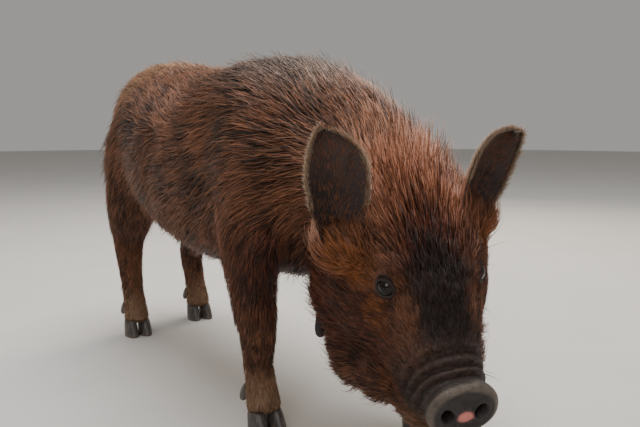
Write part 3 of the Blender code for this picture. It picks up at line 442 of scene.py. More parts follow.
class PigCoat(PropertyGroup):
    """Numbers, sizes and colours of the hairs."""
    trunk: count_setting("Trunk tufts", 54000, 1000, "Tufts on trunk, neck and thighs")
    guard: count_setting("Guard hairs", 7500, 100, "Long thin hairs over the trunk's coat")
    head: count_setting("Head tufts", 19000, 1000, "Tufts on forehead, cheeks and jowls")
    crest: count_setting("Head bristles", 3500, 100, "Long thin hairs over the head's coat")
    face: count_setting("Face tufts", 13500, 1000, "Short tufts on face and muzzle")
    legs: count_setting("Leg tufts", 21000, 500, "Tufts on the four legs")
    seed: count_setting("Seed", 11, 0, "Start of the random numbers")
    width: FloatProperty(name="Tuft width", description="Across a tuft of 30 mm", default=0.00086,
                         min=0.0002, max=0.01, unit="LENGTH")
    pull: FloatProperty(name="Clumping", description="How far the tips draw together into locks",
                        default=0.36, min=0, max=1, subtype="FACTOR")
    dark: colour_setting("Dark hairs", (0.022, 0.009, 0.006), "The black-brown hairs")
    chestnut: colour_setting("Chestnut", (0.265, 0.108, 0.052), "Hairs of the flanks")
    auburn: colour_setting("Auburn", (0.300, 0.108, 0.050), "Bristles of the forehead")
    red: colour_setting("Red brown", (0.120, 0.028, 0.011), "Hairs of the cheeks and belly")
    # Partly the hairs' golden tips, partly painted highlight along the top of the back
    gold_and_highlight: colour_setting("Gold", (0.540, 0.310, 0.175), "Tips along the back")
    orange: colour_setting("Orange", (0.290, 0.095, 0.026), "Patches round the eye")
    # Partly grey hair, partly painted sheen on the nape and withers
    slate_and_sheen: colour_setting("Slate", (0.235, 0.165, 0.130), "Hairs of the nape")
    umber: colour_setting("Umber", (0.020, 0.007, 0.006), "Hairs of the bridge")
    grey_brown: colour_setting("Grey brown", (0.075, 0.046, 0.036), "Hairs of the muzzle")
    tan: colour_setting("Tan", (0.360, 0.210, 0.120), "Hairs above the claws")
    cream: colour_setting("Cream", (0.430, 0.330, 0.225), "Fringe of the ears")


class PigStage(PropertyGroup):
    """Floor, light and camera."""
    floor: colour_setting("Floor", (0.56, 0.55, 0.53), "Colour of the floor")
    key: FloatProperty(name="Key light", description="Strength of the main softbox", default=66, min=0,
                       subtype="POWER")
    sky: FloatProperty(name="Ambient", description="Strength of the even light", default=0.36, min=0)


def skin_shift():
    """From the pig's own frame to the row's, from where the right eye is."""
    low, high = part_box("eye_right")
    return (Vector(low) + Vector(high)) / 2 - eye_frame(-1).translation


def add_object(name, data):
    obj = bpy.data.objects.new(name, data)
    bpy.context.scene.collection.objects.link(obj)
    return obj


def mesh_from_bmesh(name, shape):
    mesh = bpy.data.meshes.new(name)
    bmesh.ops.triangulate(shape, faces=shape.faces)
    bmesh.ops.recalc_face_normals(shape, faces=shape.faces)
    shape.to_mesh(mesh)
    shape.free()
    return add_object(name, mesh)


def mesh_from_arrays(name, points, triangles, attributes=None, uv=None):
    """A smooth mesh from arrays of points and triangles, with named values at its points and a UV map."""
    mesh = bpy.data.meshes.new(name)
    mesh.vertices.add(len(points))
    mesh.vertices.foreach_set("co", np.ascontiguousarray(points, np.float32).ravel())
    mesh.loops.add(triangles.size)
    mesh.loops.foreach_set("vertex_index", np.ascontiguousarray(triangles, np.int32).ravel())
    mesh.polygons.add(len(triangles))
    mesh.polygons.foreach_set("loop_start", np.arange(0, triangles.size, 3, dtype=np.int32))
    mesh.polygons.foreach_set("use_smooth", np.ones(len(triangles), bool))
    mesh.update(calc_edges=True)
    for key, values in (attributes or {}).items():
        kind = "FLOAT_VECTOR" if values.ndim == 2 else "FLOAT"
        layer = mesh.attributes.new(key, kind, "POINT")
        layer.data.foreach_set("vector" if values.ndim == 2 else "value",
                               np.ascontiguousarray(values, np.float32).ravel())
    if uv is not None:
        layer = mesh.uv_layers.new(name="OFBake")
        layer.data.foreach_set("uv", np.ascontiguousarray(uv[triangles.ravel()], np.float32).ravel())
    return add_object(name, mesh)


def arrays_of(obj):
    """Points, triangles and point normals of an object's mesh."""
    mesh = obj.data
    mesh.calc_loop_triangles()
    points = np.empty(len(mesh.vertices) * 3, np.float32)
    normals = np.empty(len(mesh.vertices) * 3, np.float32)
    triangles = np.empty(len(mesh.loop_triangles) * 3, np.int32)
    mesh.vertices.foreach_get("co", points)
    mesh.vertex_normals.foreach_get("vector", normals)
    mesh.loop_triangles.foreach_get("vertices", triangles)
    normals = normals.reshape(-1, 3).astype(float)
    return points.reshape(-1, 3).astype(float), triangles.reshape(-1, 3), normals


def set_points(obj, points):
    """Moves the points of an object's mesh to these places."""
    obj.data.vertices.foreach_set("co", points.astype(np.float32).ravel())
    obj.data.update()


def between(rows, steps):
    """Rows of numbers with steps - 1 more between each two, on a Catmull-Rom curve."""
    filled = []
    for i in range(len(rows) - 1):
        before = rows[max(i - 1, 0)]
        after = rows[min(i + 2, len(rows) - 1)]
        for k in range(steps):
            t = k / steps
            filled.append([
                0.5 * (2 * b + (c - a) * t + (2 * a - 5 * b + 4 * c - d) * t * t
                       + (3 * b - a - 3 * c + d) * t ** 3)
                for a, b, c, d in zip(before, rows[i], rows[i + 1], after)
            ])
    filled.append(list(rows[-1]))
    return filled


def loft(name, rings, place=Matrix.Identity(4), square=2.3, points=RING_POINTS):
    """A closed tube. Each ring is its centre and its half sizes as vectors: side, rise and drop."""
    shape = bmesh.new()
    loops = []
    for centre, side, rise, drop in rings:
        loop = []
        for k in range(points):
            angle = 2 * math.pi * k / points
            across = math.copysign(abs(math.cos(angle)) ** (2 / square), math.cos(angle))
            upward = abs(math.sin(angle)) ** (2 / square)
            reach = rise if math.sin(angle) >= 0 else drop
            loop.append(shape.verts.new(place @ (centre + side * across + reach * upward)))
        loops.append(loop)
    for lower, upper in zip(loops, loops[1:]):
        for k in range(points):
            after = (k + 1) % points
            shape.faces.new((lower[k], lower[after], upper[after], upper[k]))
    for loop, turn in ((loops[0], -1), (loops[-1], 1)):
        middle = sum((v.co for v in loop), Vector()) / points
        pole = shape.verts.new(middle)
        for k in range(points):
            pair = (loop[k], loop[(k + 1) % points])
            shape.faces.new((*pair[::turn], pole))
    return mesh_from_bmesh(name, shape)


def stations(rows):
    """Rings across the X axis from rows of (x, y of the middle, top, bottom, half width)."""
    rings = []
    for x, y, top, bottom, half_width in between(rows, RING_STEPS):
        rise = Vector((0, 0, (top - bottom) / 2))
        rings.append((Vector((x, y, (top + bottom) / 2)), Vector((0, half_width, 0)), rise, -rise))
    return rings


def limb(name, rows, steps=RING_STEPS, points=16):
    """A leg or tail, square to its own path, from rows of (x, y, z, half length fore and aft, half width)."""
    filled = between(rows, steps)
    path = [Vector(row[:3]) for row in filled]
    rings = []
    for i, row in enumerate(filled):
        along = (path[min(i + 1, len(path) - 1)] - path[max(i - 1, 0)]).normalized()
        side = along.cross(Vector((1, 0, 0))) if abs(along.x) < NEARLY_LEVEL else Vector((0, 1, 0))
        side = (side if side.y > 0 else -side).normalized()
        ahead = side.cross(along).normalized()
        rings.append((path[i], side * row[4], ahead * row[3], ahead * -row[3]))
    return loft(name, rings, square=2.0, points=points)


def ball(name, centre, radii, place=Matrix.Identity(4), turn=(0, 0, 0), points=24):
    shape = bmesh.new()
    bmesh.ops.create_uvsphere(shape, u_segments=points, v_segments=points // 2, radius=1)
    spot = place @ Matrix.Translation(centre) @ Euler(turn).to_matrix().to_4x4()
    bmesh.ops.transform(shape, matrix=spot @ Matrix.Diagonal((*radii, 1)), verts=shape.verts)
    return mesh_from_bmesh(name, shape)


def apply_modifiers(obj):
    graph = bpy.context.evaluated_depsgraph_get()
    graph.update()
    mesh = bpy.data.meshes.new_from_object(obj.evaluated_get(graph))
    obj.modifiers.clear()
    obj.data = mesh
    return obj


def blended(name, objects, voxel, smoothing):
    """One closed smooth form round overlapping ones."""
    shape = bmesh.new()
    for obj in objects:
        shape.from_mesh(obj.data)
        bpy.data.objects.remove(obj)
    made = mesh_from_bmesh(name, shape)
    remesh = made.modifiers.new("remesh", "REMESH")
    remesh.mode = "VOXEL"
    remesh.voxel_size = voxel
    smooth = made.modifiers.new("smooth", "SMOOTH")
    smooth.factor = 0.5
    smooth.iterations = smoothing
    return apply_modifiers(made)


def step_between(values, start, end):
    """0 at start and 1 at end, eased, for arrays."""
    t = np.clip((values - start) / (end - start), 0, 1)
    return t * t * (3 - 2 * t)


def in_frame(points, place):
    """Points as the frame called place sees them."""
    turn = np.array(place.to_3x3())
    return (points - np.array(place.translation)) @ turn


def out_of_frame(points, place):
    """Points that the frame called place sees so, as the body's frame sees them."""
    turn = np.array(place.to_3x3())
    return points @ turn.T + np.array(place.translation)


def on_side(place, side):
    """A place given on the left, kept there (side 1) or mirrored to the right (side -1)."""
    return Vector(place) * Vector((1, side, 1))


def ridge(distance, width):
    """1 where the distance is 0, falling away evenly to both sides, for arrays."""
    return np.exp(-(distance / width) ** 2)


def trunk():
    """Rump, loin, barrel, shoulder and chest, with the neck as far as the poll."""
    top, low, wide = BACK_HEIGHT, BELLY_HEIGHT, TRUNK_HALF_WIDTH
    body = loft("trunk", stations([
        (-0.252, 0, top - 0.062, low + 0.085, 0.026),
        (-0.242, 0, top - 0.026, low + 0.058, 0.050),
        (-0.209, 0, top + 0.006, low + 0.034, 0.070),
        (-0.150, 0, top + 0.014, low + 0.018, 0.080),
        (-0.070, 0, top + 0.002, low - 0.002, wide),
        (0.020, 0, top - 0.004, low - 0.012, wide + 0.004),
        (0.100, 0, top + 0.002, low - 0.010, wide - 0.001),
        (0.170, 0, top - 0.001, low - 0.005, wide - 0.010),
        (0.225, 0, top - 0.024, low + 0.006, 0.066),
        (0.256, 0, top - 0.060, low + 0.030, 0.048),
    ]))
    neck = limb("neck", [
        (0.170, 0.000, 0.248, 0.092, 0.074),
        (0.225, 0.000, 0.241, 0.083, 0.065),
        (0.270, 0.002, 0.225, 0.071, 0.055),
        (0.310, 0.003, 0.206, 0.060, 0.052),
        (0.342, -0.006, 0.188, 0.048, 0.046),
    ])
    return [body, neck]


def foreleg_rows(name):
    """Path of one foreleg from the hoof to the shoulder: x, y, z, half length fore and aft, half width."""
    foot = FEET[name]
    side = math.copysign(1, foot.y)
    ahead = foot.x - WHEELBASE / 2
    top = WHEELBASE / 2 + 0.45 * ahead
    return [
        (foot.x + 0.004, foot.y, HOOF_HEIGHT - 0.004, 0.0165, 0.0180),
        (foot.x + 0.000, foot.y, 0.034, 0.0150, 0.0155),
        (foot.x - 0.004, foot.y + 0.002 * side, 0.062, 0.0145, 0.0135),
        (foot.x - 0.002 - 0.2 * ahead, foot.y + 0.004 * side, 0.094, 0.0190, 0.0165),
        (top - 0.008, foot.y + 0.007 * side, 0.135, 0.0250, 0.0195),
        (top - 0.012, foot.y + 0.008 * side, 0.175, 0.0380, 0.0230),
        (top - 0.018, foot.y + 0.002 * side, 0.225, 0.0460, 0.0250),
    ]


def hindleg_rows(name):
    """Path of one hindleg from the hoof to the ham: x, y, z, half length fore and aft, half width."""
    foot = FEET[name]
    side = math.copysign(1, foot.y)
    hip = -WHEELBASE / 2 + 0.3 * (foot.x + WHEELBASE / 2)
    return [
        (foot.x + 0.006, foot.y, HOOF_HEIGHT - 0.004, 0.0165, 0.0180),
        (foot.x + 0.000, foot.y, 0.034, 0.0150, 0.0152),
        (foot.x - 0.010, foot.y, 0.064, 0.0150, 0.0135),
        (foot.x - 0.019, foot.y, 0.098, 0.0200, 0.0150),
        (hip - 0.012, foot.y + 0.003 * side, 0.136, 0.0260, 0.0200),
        (hip + 0.006, foot.y + 0.005 * side, 0.172, 0.0420, 0.0270),
        (hip + 0.014, foot.y + 0.002 * side, 0.225, 0.0540, 0.0300),
    ]


def leg_rows(name):
    return foreleg_rows(name) if name.startswith("fore") else hindleg_rows(name)


def leg(name):
    """One leg with the muscle that carries it into the trunk."""
    rows = leg_rows(name)
    side = math.copysign(1, rows[0][1])
    behind, out, height, radii, turn = MUSCLES[name[:4]]
    muscle = ball(name + "_muscle", (rows[-1][0] - behind, out * side, height), radii, turn=(0, turn, 0))
    return [limb(name, rows), muscle]


def swelling(name, side):
    """One of the head's paired swellings."""
    centre, radii, turn = SWELLINGS[name]
    return ball(name, on_side(centre, side), radii, HEAD, (turn[0], turn[1], turn[2] * side))


def skull():
    """The head in its own frame, from the poll to the root of the snout."""
    pieces = [loft("skull", stations(SKULL_ROWS), HEAD, square=2.2)]
    for side in SIDES:
        pieces += [swelling(name, side) for name in ("brow", "orbit", "cheek", "jaw", "jowl")]
        pieces.append(ball("ear_base", EAR_BASES[SIDES[side]], EAR_BASE_SIZE, HEAD))
        pieces.append(swelling("lip", side))
    pieces += [swelling("mandible", side) for side in SIDES]
    pieces.append(ball("chin", CHIN, CHIN_SIZE, HEAD))
    return pieces


def refined(obj, near):
    """Splits the faces whose middles near() picks into four each, and eases the new points."""
    shape = bmesh.new()
    shape.from_mesh(obj.data)
    middles = np.array([face.calc_center_median() for face in shape.faces])
    edges = {edge for face, chosen in zip(shape.faces, near(middles)) if chosen for edge in face.edges}
    bmesh.ops.subdivide_edges(shape, edges=list(edges), cuts=1, use_grid_fill=True)
    shape.to_mesh(obj.data)
    shape.free()
    points, _, _ = arrays_of(obj)
    relax(obj, near(points))


def relax(obj, chosen):
    """Draws the chosen points towards the middle of their neighbours."""
    points, _, _ = arrays_of(obj)
    ends = np.empty(len(obj.data.edges) * 2, np.int32)
    obj.data.edges.foreach_get("vertices", ends)
    ends = ends.reshape(-1, 2)
    count = np.bincount(ends.ravel(), minlength=len(points))[:, None]
    for _ in range(RELAX_ROUNDS):
        total = np.stack([
            np.bincount(ends[:, 0], points[ends[:, 1], axis], len(points))
            + np.bincount(ends[:, 1], points[ends[:, 0], axis], len(points)) for axis in range(3)
        ], 1)
        points[chosen] += 0.5 * (total / count - points)[chosen]
    set_points(obj, points)


def near_head(points):
    return in_frame(points, HEAD)[:, 0] > HEAD_START


def near_face(points):
    """The muzzle, and the surroundings of the eyes."""
    place = in_frame(points, HEAD)
    eyes = [np.linalg.norm(place - np.array(on_side(EYE, side)), axis=1) for side in SIDES]
    return (place[:, 0] > MUZZLE_START) | (np.minimum(*eyes) < EYE_SURROUND)


def path_distance(points, path):
    """How far each point is from a path of straight steps."""
    best = np.full(len(points), np.inf)
    for start, end in zip(path, path[1:]):
        start, end = np.array(start), np.array(end)
        step = end - start
        t = np.clip(((points - start) @ step) / (step @ step), 0, 1)
        best = np.minimum(best, np.linalg.norm(points - start - t[:, None] * step, axis=1))
    return best


def sculpt(obj):
    """Presses the folds of the muzzle, the mouth and the creases of the face in, and seats the eyes."""
    points, _, normals = arrays_of(obj)
    place = in_frame(points, HEAD)
    x, y, z = place.T
    depth = np.zeros(len(points))
    upper = step_between(z, *FOLDS_FADE)
    for where, deep in MUZZLE_FOLDS:
        arc = x - where + FOLD_BEND * y * y + FOLD_LEAN * (z + 0.05)
        depth -= deep * ridge(arc, FOLD_WIDTH) * upper
        depth += deep * FOLD_RISE * ridge(arc + FOLD_BEHIND, FOLD_WIDTH) * upper
    mouth = path_distance(np.stack((x, np.abs(y), z), 1), MOUTH_LINE)
    depth -= MOUTH_DEPTH * ridge(mouth, MOUTH_WIDTH)
    line = MOUTH_LINE[::-1]
    mouth_height = np.interp(x, [p[0] for p in line], [p[2] for p in line])
    lip = np.abs(z - mouth_height - LIP_ABOVE)
    depth += LIP_RISE * ridge(lip, LIP_WIDTH) * step_between(x, *LIP_STARTS)
    bag = np.hypot(x - EYE.x - BAG_AHEAD, (z - EYE.z + BAG_BELOW) * BAG_FLATNESS)
    depth -= BAG_DEPTH * ridge(bag - BAG_RADIUS, BAG_WIDTH) * (z < EYE.z) * (np.abs(y) > BRIDGE_HALF)
    points += normals * depth[:, None]
    for side in SIDES:
        seat_eye(points, side)
    set_points(obj, points)


def eye_frame(side):
    """The eye's centre, with +X looking out of the head."""
    looks = EYE_LOOKS[side].to_track_quat("X", "Z").to_matrix().to_4x4()
    return HEAD @ Matrix.Translation(on_side(EYE, side)) @ looks


def eye_direction(angle, turn):
    """The way out of the eye at that angle from its axis and that turn round it, in the eye's frame."""
    return Vector((math.cos(angle), math.sin(angle) * math.cos(turn), math.sin(angle) * math.sin(turn)))


def opening_angle(turn):
    """Half the angle of the lids' opening, in the direction turn round the eye's axis."""
    wide, high = EYE_OPENING
    power = OPENING_POWER
    reach = ((np.abs(np.cos(turn)) / wide) ** power + (np.abs(np.sin(turn)) / high) ** power) ** (-1 / power)
    return np.arcsin(np.minimum(reach / EYE_RADIUS, 0.95))


def seat_eye(points, side):
    """Draws the skin back behind the eyeball inside the lids, and round it outside them."""
    place = eye_frame(side)
    local = in_frame(points, place)
    reach = np.linalg.norm(local, axis=1)
    angle = np.arccos(np.clip(local[:, 0] / np.maximum(reach, 1e-9), -1, 1))
    beyond = angle - opening_angle(np.arctan2(local[:, 2], local[:, 1]))
    chosen = (reach < SEAT_REACH) & (angle < SEAT_ANGLE)
    blend = step_between(beyond, *SEAT_EASE)
    outside = (EYE_RADIUS + SEAT_RISE) * (1 - blend) + reach * blend
    wanted = np.where(beyond < SEAT_EASE[0], EYE_RADIUS - SEAT_DEPTH, outside)
    local[chosen] *= (wanted / np.maximum(reach, 1e-9))[chosen, None]
    points[chosen] = out_of_frame(local[chosen], place)

def lids(side):
    """A ring of upper and lower lid round the opening, with a crease outside its rim."""
    place = eye_frame(side)
    shape = bmesh.new()
    grid = []
    for k in range(LID_POINTS):
        turn = 2 * math.pi * k / LID_POINTS
        edge = float(opening_angle(turn))
        heavier = 1 + UPPER_LID * max(math.sin(turn), 0)
        grid.append([
            shape.verts.new(place @ (eye_direction(edge + beyond, turn) * (EYE_RADIUS + out * heavier)))
            for beyond, out in LID_SECTION
        ])
    for i in range(LID_POINTS):
        after = (i + 1) % LID_POINTS
        for j in range(len(LID_SECTION)):
            beside = (j + 1) % len(LID_SECTION)
            shape.faces.new((grid[i][j], grid[after][j], grid[after][beside], grid[i][beside]))
    return mesh_from_bmesh("lids", shape)


def ear_frame(name):
    """Arrays of an ear's length direction, facing, width direction, hidden base and whole length."""
    root, along, front = EARS[name]
    along = along.normalized()
    front = (front - along * front.dot(along)).normalized()
    base = HEAD @ root - along * EAR_ROOT
    return [np.array(v) for v in (along, front, along.cross(front).normalized(), base, EAR_LENGTH + EAR_ROOT)]


def outward(name):
    """1 or -1: the way along an ear's width that leads away from the head."""
    return 1 if name == "ear_left" else -1


def ear_half_width(t):
    """Half the ear's width at t, from 0 at its base to 1 at its tip."""
    return EAR_WIDTH / 2 * (0.46 + 1.45 * t - 1.0 * t * t) * np.maximum(1 - t ** 5, 0) ** 0.8 + EAR_EDGE


def ear_middle(name, t):
    """How far the ear's middle line leans outwards at t along it, most at the tip."""
    return EAR_TIP_LEAN * t ** 7 * outward(name)


def ear_bend(t, s):
    """How far the ear's middle sheet stands forward at t along it and s across it, -1 to 1."""
    return EAR_CUP * (1.1 - 0.6 * t) * (s * s - 0.5) + EAR_TIP_FORWARD * t * t


def ear_points(name, t, s, face):
    """Places on an ear's front (face 1) or back (face -1), for arrays of t and s."""
    along, front, side, base, length = ear_frame(name)
    t, s = np.asarray(t, float), np.asarray(s, float)
    thick = EAR_THICKNESS / 2 * (1.6 - 0.9 * t) * np.sqrt(np.maximum(1 - s * s, 0))
    stand = ear_bend(t, s) + face * thick
    across = ear_middle(name, t) + ear_half_width(t) * s
    return base + along * (length * t)[..., None] + side * across[..., None] + front * stand[..., None]


def ear(name, rows=30, columns=22):
    """A cupped leaf-shaped ear, a sheet with a front and a back that meet at its edge."""
    t, s = np.meshgrid(np.linspace(0, 1, rows + 1) ** 0.75, np.linspace(-1, 1, columns + 1), indexing="ij")
    shape = bmesh.new()
    sheets = []
    for face in (1, -1):
        sheets.append([[shape.verts.new(p) for p in line] for line in ear_points(name, t, s, face)])
    for sheet, order in zip(sheets, (1, -1)):
        for i in range(rows):
            for j in range(columns):
                corners = (sheet[i][j], sheet[i][j + 1], sheet[i + 1][j + 1], sheet[i + 1][j])
                shape.faces.new(corners[::order])
    before, behind = sheets
    for i in (0, rows):
        for j in range(columns):
            shape.faces.new((before[i][j], before[i][j + 1], behind[i][j + 1], behind[i][j]))
    bmesh.ops.remove_doubles(shape, verts=shape.verts, dist=0.00002)
    return mesh_from_bmesh(name, shape)


def snout_frame():
    """The snout's disc, with +X out of its face and +Z to its upper rim."""
    return HEAD @ (Matrix.Translation(SNOUT) @ Matrix.Rotation(SNOUT_TILT, 4, "Y"))


def snout():
    """The disc at the end of the nose: a soft rim round a slightly hollow face with two deep nostrils."""
    wide, high = SNOUT_HALF
    rings = []
    for x, size in between(SNOUT_ROWS, 4):
        rings.append((Vector((x, 0, 0)), Vector((0, wide * size, 0)), Vector((0, 0, high * size)),
                      Vector((0, 0, -high * size * SNOUT_LOWER))))
    disc = loft("snout", rings, square=2.15, points=72)
    points, _, _ = arrays_of(disc)
    face = step_between(points[:, 0], SNOUT_DEPTH - 0.004, SNOUT_DEPTH - 0.002)
    for side in SIDES:
        off_y = points[:, 1] - NOSTRIL_PLACE[0] * side
        off_z = points[:, 2] - NOSTRIL_PLACE[1]
        lean = NOSTRIL_LEAN * side
        across = (off_y * math.cos(lean) - off_z * math.sin(lean)) / NOSTRIL_HALF[0]
        upward = (off_y * math.sin(lean) + off_z * math.cos(lean)) / NOSTRIL_HALF[1]
        away = np.hypot(across, upward)
        points[:, 0] += face * (NOSTRIL_RIM * ridge(away - 1.35, 0.28))
        points[:, 0] -= face * NOSTRIL_DEPTH * (1 - step_between(away, 0.45, 1.10))
    groove = ridge(points[:, 1], GROOVE_WIDTH) * step_between(points[:, 2], -0.001, 0.006)
    points[:, 0] -= face * GROOVE_DEPTH * groove
    set_points(disc, out_of_frame(points, snout_frame()))
    return disc


def tail():
    """A short tail, hanging with a slight curl."""
    return limb("tail", [
        (-0.240, 0.000, 0.300, 0.0130, 0.0130),
        (-0.250, 0.000, 0.296, 0.0120, 0.0120),
        (-0.268, 0.002, 0.286, 0.0105, 0.0105),
        (-0.281, 0.006, 0.264, 0.0085, 0.0085),
        (-0.282, 0.011, 0.238, 0.0068, 0.0068),
        (-0.275, 0.014, 0.214, 0.0056, 0.0056),
        (-0.268, 0.012, 0.198, 0.0040, 0.0040),
        (-0.264, 0.008, 0.190, 0.0015, 0.0015),
    ], 5, points=20)


def tassel(side):
    """A small fleshy tassel hanging from the jowl."""
    root = HEAD @ on_side(TASSEL, side)
    rows = [(root.x, root.y, root.z - drop, size, size) for drop, size in TASSEL_ROWS]
    return limb("tassel", rows, 5, points=20)


def claw(foot, side, big):
    """One half of a hoof, or the small claw behind it, with a flat sole on the floor."""
    if big:
        rings = []
        for z, shift, long, wide in between(CLAW_ROWS, 5):
            growth = 1 + GROWTH_RINGS * math.sin(z / GROWTH_PITCH)
            spread = CLAW_SPREAD * side * (0.94 + 0.06 * wide)
            centre = Vector((foot.x + CLAW_AHEAD + shift, foot.y + spread, z))
            rings.append((centre, Vector((0, HOOF_WIDTH / 2 * wide * growth, 0)),
                          Vector((HOOF_LENGTH / 2 * long * growth, 0, 0)),
                          Vector((-HOOF_LENGTH / 2 * 0.8 * long, 0, 0))))
        return loft("claw", rings, square=1.9, points=36)
    root = Vector((foot.x, foot.y, 0)) + on_side(DEWCLAW, side)
    tip = root + Vector((-0.009, 0.002 * side, -DEWCLAW_LENGTH))
    rows = [(*root.lerp(tip, t), size, size * 0.85) for t, size in DEWCLAW_ROWS]
    return limb("dewclaw", rows, 4, points=18)


def gathered(parts):
    """Points, triangles and kinds of several objects, each given with its kind. The objects are removed."""
    points, triangles, marks, offset = [], [], [], 0
    for obj, kind in parts:
        more, faces, _ = arrays_of(obj)
        points.append(more)
        triangles.append(faces + offset)
        marks.append(np.full(len(more), kind, float))
        offset += len(more)
        bpy.data.objects.remove(obj)
    return np.concatenate(points), np.concatenate(triangles), np.concatenate(marks)


def placed(obj, slot, *nodes):
    """Moves a finished piece to the frame's place, hangs it from its body's empty and hides the nodes it
    replaces; the slot is not used.
    """
    obj.data.transform(Matrix.Translation(skin_shift()))
    obj.data.update()
    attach(obj, BODY)
    if nodes:
        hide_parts(*nodes)
    return obj


class Shade:
    """A socket of a material's tree that can stand in a formula."""

    def __init__(self, tree, socket):
        self.tree = tree
        self.socket = socket

    def node(self, kind, settings=None, inputs=None, output=0):
        """Any node: settings are set first, then the values or links of its sockets."""
        made = self.tree.nodes.new(kind)
        for key, value in (settings or {}).items():
            setattr(made, key, value)
        for key, value in (inputs or {}).items():
            if isinstance(value, Shade):
                self.tree.links.new(value.socket, made.inputs[key])
            else:
                made.inputs[key].default_value = value
        return Shade(self.tree, made.outputs[output])

    def math(self, operation, *values):
        return self.node("ShaderNodeMath", {"operation": operation}, dict(enumerate(values)))

    def vector(self, operation, *values, output=0):
        return self.node("ShaderNodeVectorMath", {"operation": operation}, dict(enumerate(values)), output)

    def ramp(self, low, high, start=0.0, end=1.0):
        """An eased step from start to end while the value goes from low to high."""
        return self.node("ShaderNodeMapRange", {"interpolation_type": "SMOOTHSTEP"},
                         {0: self, 1: low, 2: high, 3: start, 4: end})

    def mix(self, other, share):
        """This colour with that share of another colour."""
        return mixed(self, self, other, share)

    def to(self, shader, name):
        """Links this socket to the shader's socket of that name."""
        self.tree.links.new(self.socket, shader.inputs[name])

    def __add__(self, other):
        return self.math("ADD", self, other)

    def __sub__(self, other):
        return self.math("SUBTRACT", self, other)

    def __rsub__(self, other):
        return self.math("SUBTRACT", other, self)

    def __mul__(self, other):
        return self.math("MULTIPLY", self, other)


def new_material(name, roughness, specular=0.5):
    """A material, its shader node and a first socket to build on."""
    made = bpy.data.materials.new(name)
    made.use_nodes = True
    shader = made.node_tree.nodes["Principled BSDF"]
    shader.inputs["Roughness"].default_value = roughness
    shader.inputs["Specular IOR Level"].default_value = specular
    return made, shader, Shade(made.node_tree, None)


def bumped(base, shader, strength, distance, height):
    """Bump in the shader's normal from a height."""
    inputs = {"Strength": strength, "Distance": distance, "Height": height}
    base.node("ShaderNodeBump", {}, inputs).to(shader, "Normal")


def mixed(base, first, second, share):
    """The first colour with that share of the second; each is a plain colour or a socket."""
    return base.node("ShaderNodeMix", {"data_type": "RGBA"}, {0: share, 6: first, 7: second}, 2)


def attribute(base, name, output=2):
    """A value that the mesh carries: output 1 is a vector, 2 a number."""
    return base.node("ShaderNodeAttribute", {"attribute_name": name}, output=output)


def rgba(colour):
    return (*colour, 1.0)


def noise(base, position, scale, detail, output=0):
    return base.node("ShaderNodeTexNoise", {}, {"Vector": position, "Scale": scale, "Detail": detail}, output)


def marking_mask(base, position, centre, half, place):
    """1 inside an ellipsoid, easing to 0 outside it."""
    inputs = {"Vector": position, "Location": tuple(place @ Vector(centre)),
              "Rotation": tuple(place.to_euler()), "Scale": half}
    local = base.node("ShaderNodeMapping", {"vector_type": "TEXTURE"}, inputs)
    return base.vector("LENGTH", local, output=1).ramp(1.25, 0.40)


def brindle(base, position, tone):
    """The coat's colour at a place on the skin, from the marking there and the tuft's own tone."""
    coat = bpy.context.scene.pig_coat
    wander = noise(base, position, 16.0, 2.0)
    spread = base.vector("SUBTRACT", noise(base, position, 22.0, 2.0, output=1), (0.5, 0.5, 0.5))
    spread = base.node("ShaderNodeVectorMath", {"operation": "SCALE"}, {0: spread, "Scale": MARKING_WANDER})
    warped = base.vector("ADD", position, spread)
    pale = rgba(coat.chestnut)
    share = wander.ramp(0.30, 0.72, 0.45, 0.80)
    # Some markings hold painted light: the gold along the back's top is partly painted highlight, the slate
    # on the withers partly painted sheen
    for rows, place in ((BODY_MARKINGS, Matrix.Identity(4)), (HEAD_MARKINGS, HEAD)):
        for centre, half, colour, count in rows:
            mask = marking_mask(base, warped, centre, half, place)
            pale = mixed(base, pale, rgba(getattr(coat, colour)), mask)
            share = share + (count - share) * mask
    chosen = (tone - share).ramp(0.30, -0.30)
    return mixed(base, rgba(coat.dark), pale, chosen)


def coat_material():
    """Hair: dark at its root, brighter to its tip, brindled from tuft to tuft."""
    made, shader, base = new_material("bristly_coat", 0.42, specular=0.40)
    tone = attribute(base, "tone")
    colour = brindle(base, attribute(base, "rest", 1), tone)
    rooted = colour.mix(ROOT_DARK, attribute(base, "along").ramp(0.75, 0.0, 0.0, 0.72))
    value = tone.ramp(1.0, 0.0, 0.75, 1.35)
    rooted.node("ShaderNodeHueSaturation", {}, {"Color": rooted, "Value": value}).to(shader, "Base Color")
    return made


def fringe_material():
    """The ears' fringe: cream hair, browner at its root."""
    made, shader, base = new_material("ear_fringe", 0.5, specular=0.4)
    coat = bpy.context.scene.pig_coat
    share = attribute(base, "tone").ramp(0.25, 1.0, 0.0, 0.8)
    shaded = mixed(base, rgba(coat.cream), rgba(coat.chestnut), share)
    rooted = shaded.mix(rgba(coat.dark), attribute(base, "along").ramp(0.85, 0.0, 0.0, 0.85))
    rooted.to(shader, "Base Color")
    return made


